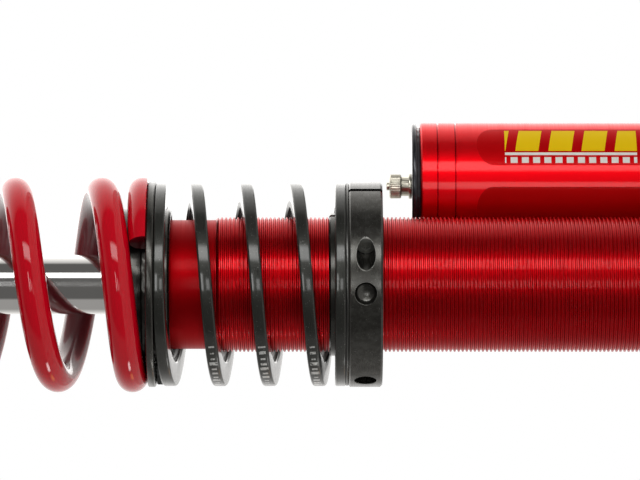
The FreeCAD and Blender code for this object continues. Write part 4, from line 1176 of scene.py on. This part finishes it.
@dataclass
class SpannerHoles:
    """The drilled holes round the collar, each with the cone that a drill leaves at its bottom.

    Depths are below the collar's round face, and angles are in degrees about Z.
    """

    first: float = -140.5
    step: float = -64.0
    count: int = 5
    radius: float = 4.17 * MM
    wall: tuple[float, float] = (1.4 * MM, 3.6 * MM)
    wall_foot: float = 0.98
    point: float = 0.30
    point_rise: float = 0.25 * MM
    depth: float = 6.4 * MM
    shell: float = 0.05 * MM
    back: float = 3.8 * MM
    sides: int = 48

    def build(self) -> None:
        """Make one lined cone in each hole."""
        reach = outer_radius("adjuster_collar")
        height = collar_middle()
        top, foot = self.wall
        outline = [(self.radius, -top), (self.radius * self.wall_foot, -foot),
                   (self.radius * self.point, -self.depth + self.point_rise), (0.0, -self.depth),
                   (0.0, -self.depth - self.shell), (self.radius, -self.back)]
        local, faces = lathe(outline, self.sides)
        verts: list[Point] = []
        every: list[tuple[int, ...]] = []
        for hole in range(self.count):
            turn = math.radians(self.first + hole * self.step)
            out = Vector((math.cos(turn), math.sin(turn), 0))
            side = Vector((-math.sin(turn), math.cos(turn), 0))
            start = len(verts)
            for x, y, z in local:
                verts.append(tuple(out * (reach + z) + side * x + Vector((0, 0, height + y))))
            every += [tuple(start + corner for corner in face) for face in faces]
        settle(make_piece("spanner_cones", verts, every, BLACK_ANODISED), "collar_body", "black_anodised")


@dataclass
class WornRims:
    """Bare metal where tools have worn the black from the rims of the collar's holes.

    Radii are the outer and the inner one, and each is sunk into the collar's round face by two depths: that
    of the rim's own face, and that of its back.
    """

    bolt_way: float = -175.0
    bolt_offset: float = 31.3 * MM
    bolt_radius: tuple[float, float] = (3.68 * MM, 3.46 * MM)
    spanner_radius: tuple[float, float] = (4.30 * MM, 4.10 * MM)
    outer_sunk: tuple[float, float] = (-0.02 * MM, 0.08 * MM)
    inner_sunk: tuple[float, float] = (0.16 * MM, 0.26 * MM)
    sides: int = 72

    def build(self) -> None:
        """Make one rim for each hole."""
        holes = SpannerHoles()
        verts: list[Point] = []
        faces: list[tuple[int, ...]] = []
        rims = [(self.bolt_way, self.bolt_offset, self.bolt_radius)]
        rims += [(holes.first + hole * holes.step, 0.0, self.spanner_radius) for hole in range(holes.count)]
        for way, offset, radii in rims:
            start = len(verts)
            verts += self.rim(way, offset, radii)
            faces += [tuple(start + corner for corner in face)
                      for face in grid_faces(self.sides + 1, 4, closed=True)]
        settle(make_piece("collar_rims", verts, faces, WORN_RIM), "collar_body", "black_anodised")

    def rim(self, way: float, offset: float, radii: tuple[float, float]) -> list[Point]:
        """Points of a thin rim that follows the collar's round face.

        Args:
            way: direction of the hole's axis about Z, in degrees.
            offset: distance of the hole's axis from the collar's own axis.
            radii: outer and inner radius of the rim about the hole's axis.

        Returns:
            Four points for each step round the hole.
        """
        reach = outer_radius("adjuster_collar")
        height = collar_middle()
        out = Vector((math.cos(math.radians(way)), math.sin(math.radians(way)), 0))
        side = Vector((-out.y, out.x, 0))
        (outer, inner), (outer_face, outer_back), (inner_face, inner_back) = (
            radii, self.outer_sunk, self.inner_sunk)
        section = ((outer, outer_face), (inner, inner_face), (inner, inner_back), (outer, outer_back))
        points: list[Point] = []
        for step in range(self.sides + 1):
            angle = TAU * step / self.sides
            for radius, sunk in section:
                sideways = offset + radius * math.cos(angle)
                away = math.sqrt(reach * reach - sideways * sideways) - sunk
                points.append(tuple(out * away + side * sideways
                                    + Vector((0, 0, height + radius * math.sin(angle)))))
        return points


@dataclass
class ValveCap:
    """The gas valve's cap: a skirt, a straight knurl and a small round tip.

    The foot's and the shoulder's corners are given by their distance in from the rim and their height from
    the foot, or drop from the shoulder.
    """

    teeth: int = 44
    knurl: float = 0.16 * MM
    tip_radius: float = 1.5 * MM
    tip_height: float = 1.1 * MM
    tip_bevel: float = 0.15 * MM
    skirt: float = 1.3 * MM
    skirt_bore: float = 3.74 * MM
    bore: float = 3.1 * MM
    bore_depth: float = 1.9 * MM
    foot_corners: tuple[tuple[float, float], ...] = ((0.30 * MM, 0.0), (0.05 * MM, 0.3 * MM),
                                                     (0.0, 0.45 * MM))
    shoulder_corners: tuple[tuple[float, float], ...] = ((0.0, 0.55 * MM), (0.1 * MM, 0.4 * MM),
                                                         (0.6 * MM, 0.0))
    facets: int = 6

    def build(self) -> None:
        """Turn the cap and press the knurl into its rim."""
        bottom, top = low("valve_cap").z, high("valve_cap").z
        rim = outer_radius("valve_cap")
        step = top - self.tip_height
        foot = bottom - self.skirt
        outline = [(self.skirt_bore, foot)]
        outline += [(rim - inward, foot + rise) for inward, rise in self.foot_corners]
        outline += [(rim - inward, step - drop) for inward, drop in self.shoulder_corners]
        outline += [(self.tip_radius, step), (self.tip_radius, top - self.tip_bevel),
                    (self.tip_radius - self.tip_bevel, top), (0.0, top), (0.0, bottom + self.bore_depth),
                    (self.bore, bottom + self.bore_depth), (self.bore, bottom), (self.skirt_bore, bottom)]
        first = len(self.foot_corners)
        knurled = (first, first + 1)

        def ripple(angle: float, corner: int) -> float:
            """Depth of the knurl at an angle."""
            return -self.knurl * (0.5 + 0.5 * math.cos(angle * self.teeth)) if corner in knurled else 0.0

        verts, faces = lathe(outline, self.teeth * self.facets, RESERVOIR_AXIS, ripple)
        settle(make_piece("valve_cap_knurled", verts, faces, NICKEL), "valve_cap_body", "nickel", "valve_cap")


@dataclass
class GrooveShade:
    """Painted shade: dark rings in the reservoir's turned grooves."""

    depths: tuple[float, float] = (6.1 * MM, 12.8 * MM)
    width: float = 0.42 * MM
    sunk: float = 0.30 * MM
    thick: float = 0.2 * MM
    sides: int = 128

    def build(self) -> None:
        """Lay a thin ring of painted shade at the bottom of each groove."""
        reach = outer_radius("reservoir_tube") - self.sunk
        verts: list[Point] = []
        faces: list[tuple[int, ...]] = []
        for depth in self.depths:
            edge = high("reservoir_tube").z - depth
            outline = [(reach, edge - self.width), (reach, edge), (reach - self.thick, edge),
                       (reach - self.thick, edge - self.width)]
            points, ring = lathe(outline, self.sides, RESERVOIR_AXIS)
            start = len(verts)
            verts += points
            faces += [tuple(start + corner for corner in face) for face in ring]
        settle(make_piece("reservoir_groove_shade", verts, faces, GROOVE_PAINTED_SHADE), "damper_body", "red_anodised")


# ---------------------------------------------------------------- the stage


@dataclass(frozen=True)
class LightCard:
    """A bright patch of the studio.

    All angles are in degrees: the card's own is above the camera's direction, and its tilt is along the
    damper, towards its top.
    """

    angle: float
    half_angle: float
    level: float
    half_tilt: float
    tilt: float = 0.0
    soft: float = 3.0
    tint: Colour = (1.0, 1.0, 1.0)

    def glow(self, graph: Graph, turn: bpy.types.NodeSocket,
             lean: bpy.types.NodeSocket) -> bpy.types.NodeSocket:
        """Brightness of the card in a direction, with soft edges.

        Args:
            graph: the world's graph.
            turn: angle of the direction about the damper.
            lean: angle of the direction along it.

        Returns:
            The brightness's socket.
        """
        off = graph.maths("ABSOLUTE", graph.maths("SUBTRACT", turn, self.angle))
        shown = graph.ramp(off, self.half_angle - self.soft, self.half_angle + self.soft, to_low=1.0,
                           to_high=0.0)
        side = graph.maths("ABSOLUTE", graph.maths("SUBTRACT", lean, self.tilt))
        held = graph.ramp(side, self.half_tilt - self.soft, self.half_tilt + self.soft, to_low=1.0,
                          to_high=0.0)
        return graph.maths("MULTIPLY", graph.maths("MULTIPLY", shown, held), self.level)


CARDS = (
    LightCard(36.5, 8.5, 4.7, half_tilt=22.0, soft=2.5),
    LightCard(1.0, 6.0, 3.8, tilt=-3.0, half_tilt=3.0, soft=1.5),
    LightCard(3.0, 9.5, 6.0, tilt=8.5, half_tilt=2.6, soft=1.5),
    LightCard(-2.0, 6.0, 1.6, tilt=-14.0, half_tilt=2.0, soft=1.5),
    LightCard(-98.0, 6.5, 8.0, tilt=-18.0, half_tilt=9.0, soft=2.0),
    LightCard(-118.0, 6.0, 2.2, tilt=-16.0, half_tilt=6.0, soft=3.0, tint=(1.0, 0.45, 0.10)),
)


@dataclass
class Studio:
    """Pale floor, soft lights and the camera, turned so that the damper lies across the view.

    Ceiling and table are pale sweeps: the angles where each begins and is full, and its brightness at the
    faint and at the bright side. They change from one to the other up to the far angles.
    """

    facing: float = CAMERA_SIDE
    distance: float = 1.70
    lens: float = 257.8
    middle: float = 193.7 * MM
    rise: float = 16.5 * MM
    sensor: float = 36.0
    clip: tuple[float, float] = (0.05, 50.0)
    floor_radius: float = 0.9
    floor_gap: float = 0.5 * MM
    floor_sides: int = 96
    room: float = 0.12
    ceiling: tuple[float, float, float, float] = (84.0, 96.0, 0.65, 2.00)
    ceiling_far: float = 150.0
    table: tuple[float, float, float, float] = (-50.0, -63.0, 0.36, 1.00)
    table_far: tuple[float, float] = (-155.0, -112.0)
    ends: tuple[float, float] = (55.0, 80.0)
    end_colour: Colour = (0.45, 0.45, 0.45)
    warmth: Colour = (1.0, 0.985, 0.965)

    @property
    def towards(self) -> Vector:
        """Level direction from the damper to the camera."""
        return Vector((math.cos(math.radians(self.facing)), math.sin(math.radians(self.facing)), 0))

    @property
    def upward(self) -> Vector:
        """Direction that is up in the camera's view."""
        turn = math.radians(self.facing + 90)
        return Vector((math.cos(turn), math.sin(turn), 0))

    def build(self) -> None:
        """Put everything in place."""
        bpy.context.scene.view_settings.view_transform = "Standard"
        self.floor()
        self.sky()
        self.camera()

    def floor(self) -> None:
        """A round pale floor under the lower eye."""
        height = CAD_BOX[0].z - self.floor_gap
        verts = [(0.0, 0.0, height)]
        sides = self.floor_sides
        for ring in (0.5, 1.0):
            for step in range(sides):
                angle = TAU * step / sides
                verts.append((ring * self.floor_radius * math.cos(angle),
                              ring * self.floor_radius * math.sin(angle), height))
        faces = [(0, 1 + step, 1 + (step + 1) % sides) for step in range(sides)]
        faces += [(1 + step, 1 + sides + step, 1 + sides + (step + 1) % sides, 1 + (step + 1) % sides)
                  for step in range(sides)]
        make_piece("floor", verts, faces, PALE_FLOOR)

    def sky(self) -> None:
        """White all round to the camera; to the surfaces, a dark room, two pale sweeps and light cards."""
        world = bpy.data.worlds.new("studio_world")
        bpy.context.scene.world = world
        world.use_nodes = True
        world.node_tree.nodes.clear()
        graph = Graph(world.node_tree)
        ray = graph.add("ShaderNodeTexCoord").outputs["Generated"]
        up, front, along = (self.dot(graph, ray, way)
                            for way in (self.upward, self.towards, Vector((0, 0, 1))))
        turn = graph.maths("DEGREES", graph.maths("ARCTAN2", up, front))
        lean = graph.maths("DEGREES", graph.maths("ARCSINE", along))
        start, full, faint, bright = self.ceiling
        above = graph.maths("MULTIPLY", graph.ramp(turn, start, full),
                            graph.ramp(turn, full, self.ceiling_far, faint, bright))
        start, full, faint, bright = self.table
        below = graph.maths("MULTIPLY", graph.ramp(turn, full, start, to_low=1.0, to_high=0.0),
                            graph.ramp(turn, *self.table_far, bright, faint))
        sweep = graph.maths("MAXIMUM", graph.maths("MAXIMUM", above, below), self.room)
        pale = graph.join(*(graph.maths("MULTIPLY", sweep, share) for share in self.warmth))
        level = graph.blend(graph.ramp(graph.maths("ABSOLUTE", lean), *self.ends), pale, self.end_colour)
        for card in CARDS:
            tint = graph.vector("SCALE", graph.join(*card.tint))
            graph.feed(tint.node.inputs["Scale"], card.glow(graph, turn, lean))
            level = graph.vector("ADD", level, tint)
        light_path = graph.add("ShaderNodeLightPath").outputs["Is Camera Ray"]
        seen, felt = graph.add("ShaderNodeBackground"), graph.add("ShaderNodeBackground")
        seen.inputs["Color"].default_value = (1, 1, 1, 1)
        graph.feed(felt.inputs["Color"], level)
        mix = graph.add("ShaderNodeMixShader")
        for socket, value in zip(mix.inputs, (light_path, felt.outputs[0], seen.outputs[0])):
            graph.feed(socket, value)
        out = graph.add("ShaderNodeOutputWorld")
        graph.feed(out.inputs["Surface"], mix.outputs[0])

    @staticmethod
    def dot(graph: Graph, ray: bpy.types.NodeSocket, way: Vector) -> bpy.types.NodeSocket:
        """Share of a direction that lies along a given way.

        Args:
            graph: the world's graph.
            ray: the direction.
            way: the way, one long.

        Returns:
            The share's socket.
        """
        node = graph.add("ShaderNodeVectorMath", operation="DOT_PRODUCT")
        graph.feed(node.inputs[0], ray)
        node.inputs[1].default_value = tuple(way)
        return node.outputs["Value"]

    def camera(self) -> None:
        """The camera on its side, so that the damper's axis runs across the view."""
        data = bpy.data.cameras.new("camera")
        data.lens = self.lens
        data.sensor_width = self.sensor
        data.clip_start, data.clip_end = self.clip
        camera = bpy.data.objects.new("camera", data)
        place = self.towards * self.distance + self.upward * self.rise + Vector((0, 0, self.middle))
        turn = Matrix((Vector((0, 0, -1)), self.upward, self.towards)).transposed().to_4x4()
        camera.matrix_world = Matrix.Translation(place) @ turn
        bpy.context.scene.collection.objects.link(camera)
        bpy.context.scene.camera = camera


# ---------------------------------------------------------------- what stays as the model has it


DRESSED: dict[Finish, tuple[str, ...]] = {
    RED_TUBE: ("reservoir_tube",),
    BLACK_ANODISED: ("spring_coupler", "adjuster_collar", "bridge_block", "upper_eye", "upper_spring_seat",
                     "bump_stop_cup"),
    BLACK_CAP: ("reservoir_cap",),
    CHROME: ("piston_rod",),
    STEEL: ("backing_washers", "compression_shims", "rebound_shims", "piston_nut", "base_valve_shims",
            "base_valve_bolt", "metering_rod", "low_speed_needle", "high_speed_pin", "seal_head_ring",
            "spring_seat_ring", "reservoir_cap_ring", "upper_circlips", "lower_circlips", "passage_plug"),
    DARK_STEEL: ("thrust_washer",),
    BEARING: ("upper_ball", "lower_ball", "upper_bearing_race", "lower_bearing_race"),
    ZINC: ("upper_spacers", "lower_spacers"),
    NICKEL: ("valve_stem", "valve_pin"),
    ALLOY: ("seal_head", "piston", "floating_piston", "base_valve"),
    BLACK_STEEL: ("pinch_bolt",),
    BRONZE: ("rod_bush", "piston_band"),
    RUBBER: ("shaft_seal", "wiper_seal", "seal_head_oring", "reservoir_cap_oring", "floating_piston_oring",
             "top_out_bumper"),
    FOAM: ("bump_stop",),
    RED_KNOB: ("low_speed_knob", "high_speed_knob", "rebound_wheel"),
}

# Width of the broken edges of each piece that has them.
BEVELLED: dict[str, float] = {
    "spring_coupler": 0.22 * MM, "bridge_block": 0.5 * MM, "upper_eye": 0.3 * MM,
    "upper_spring_seat": 0.25 * MM, "reservoir_cap": 0.2 * MM, "bump_stop_cup": 0.2 * MM,
    "thrust_washer": 0.08 * MM, "upper_spacers": 0.2 * MM, "lower_spacers": 0.2 * MM,
    "valve_stem": 0.08 * MM, "low_speed_knob": 0.2 * MM, "high_speed_knob": 0.2 * MM,
    "rebound_wheel": 0.15 * MM, "passage_plug": 0.12 * MM, "pinch_bolt": 0.15 * MM,
}


def main() -> None:
    """Build the coilover piece by piece, then the studio round it."""
    logging.basicConfig(level=logging.INFO, format="%(message)s")
    for finish, nodes in DRESSED.items():
        for node in nodes:
            dress(node, finish, BEVELLED.get(node, 0.0))
    ThreadedBody().build()
    GrooveShade().build()
    SpannerHoles().build()
    WornRims().build()
    ValveCap().build()
    for spring in springs():
        spring.build()
    Studio().build()
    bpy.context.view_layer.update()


if __name__ == "__main__":
    main()
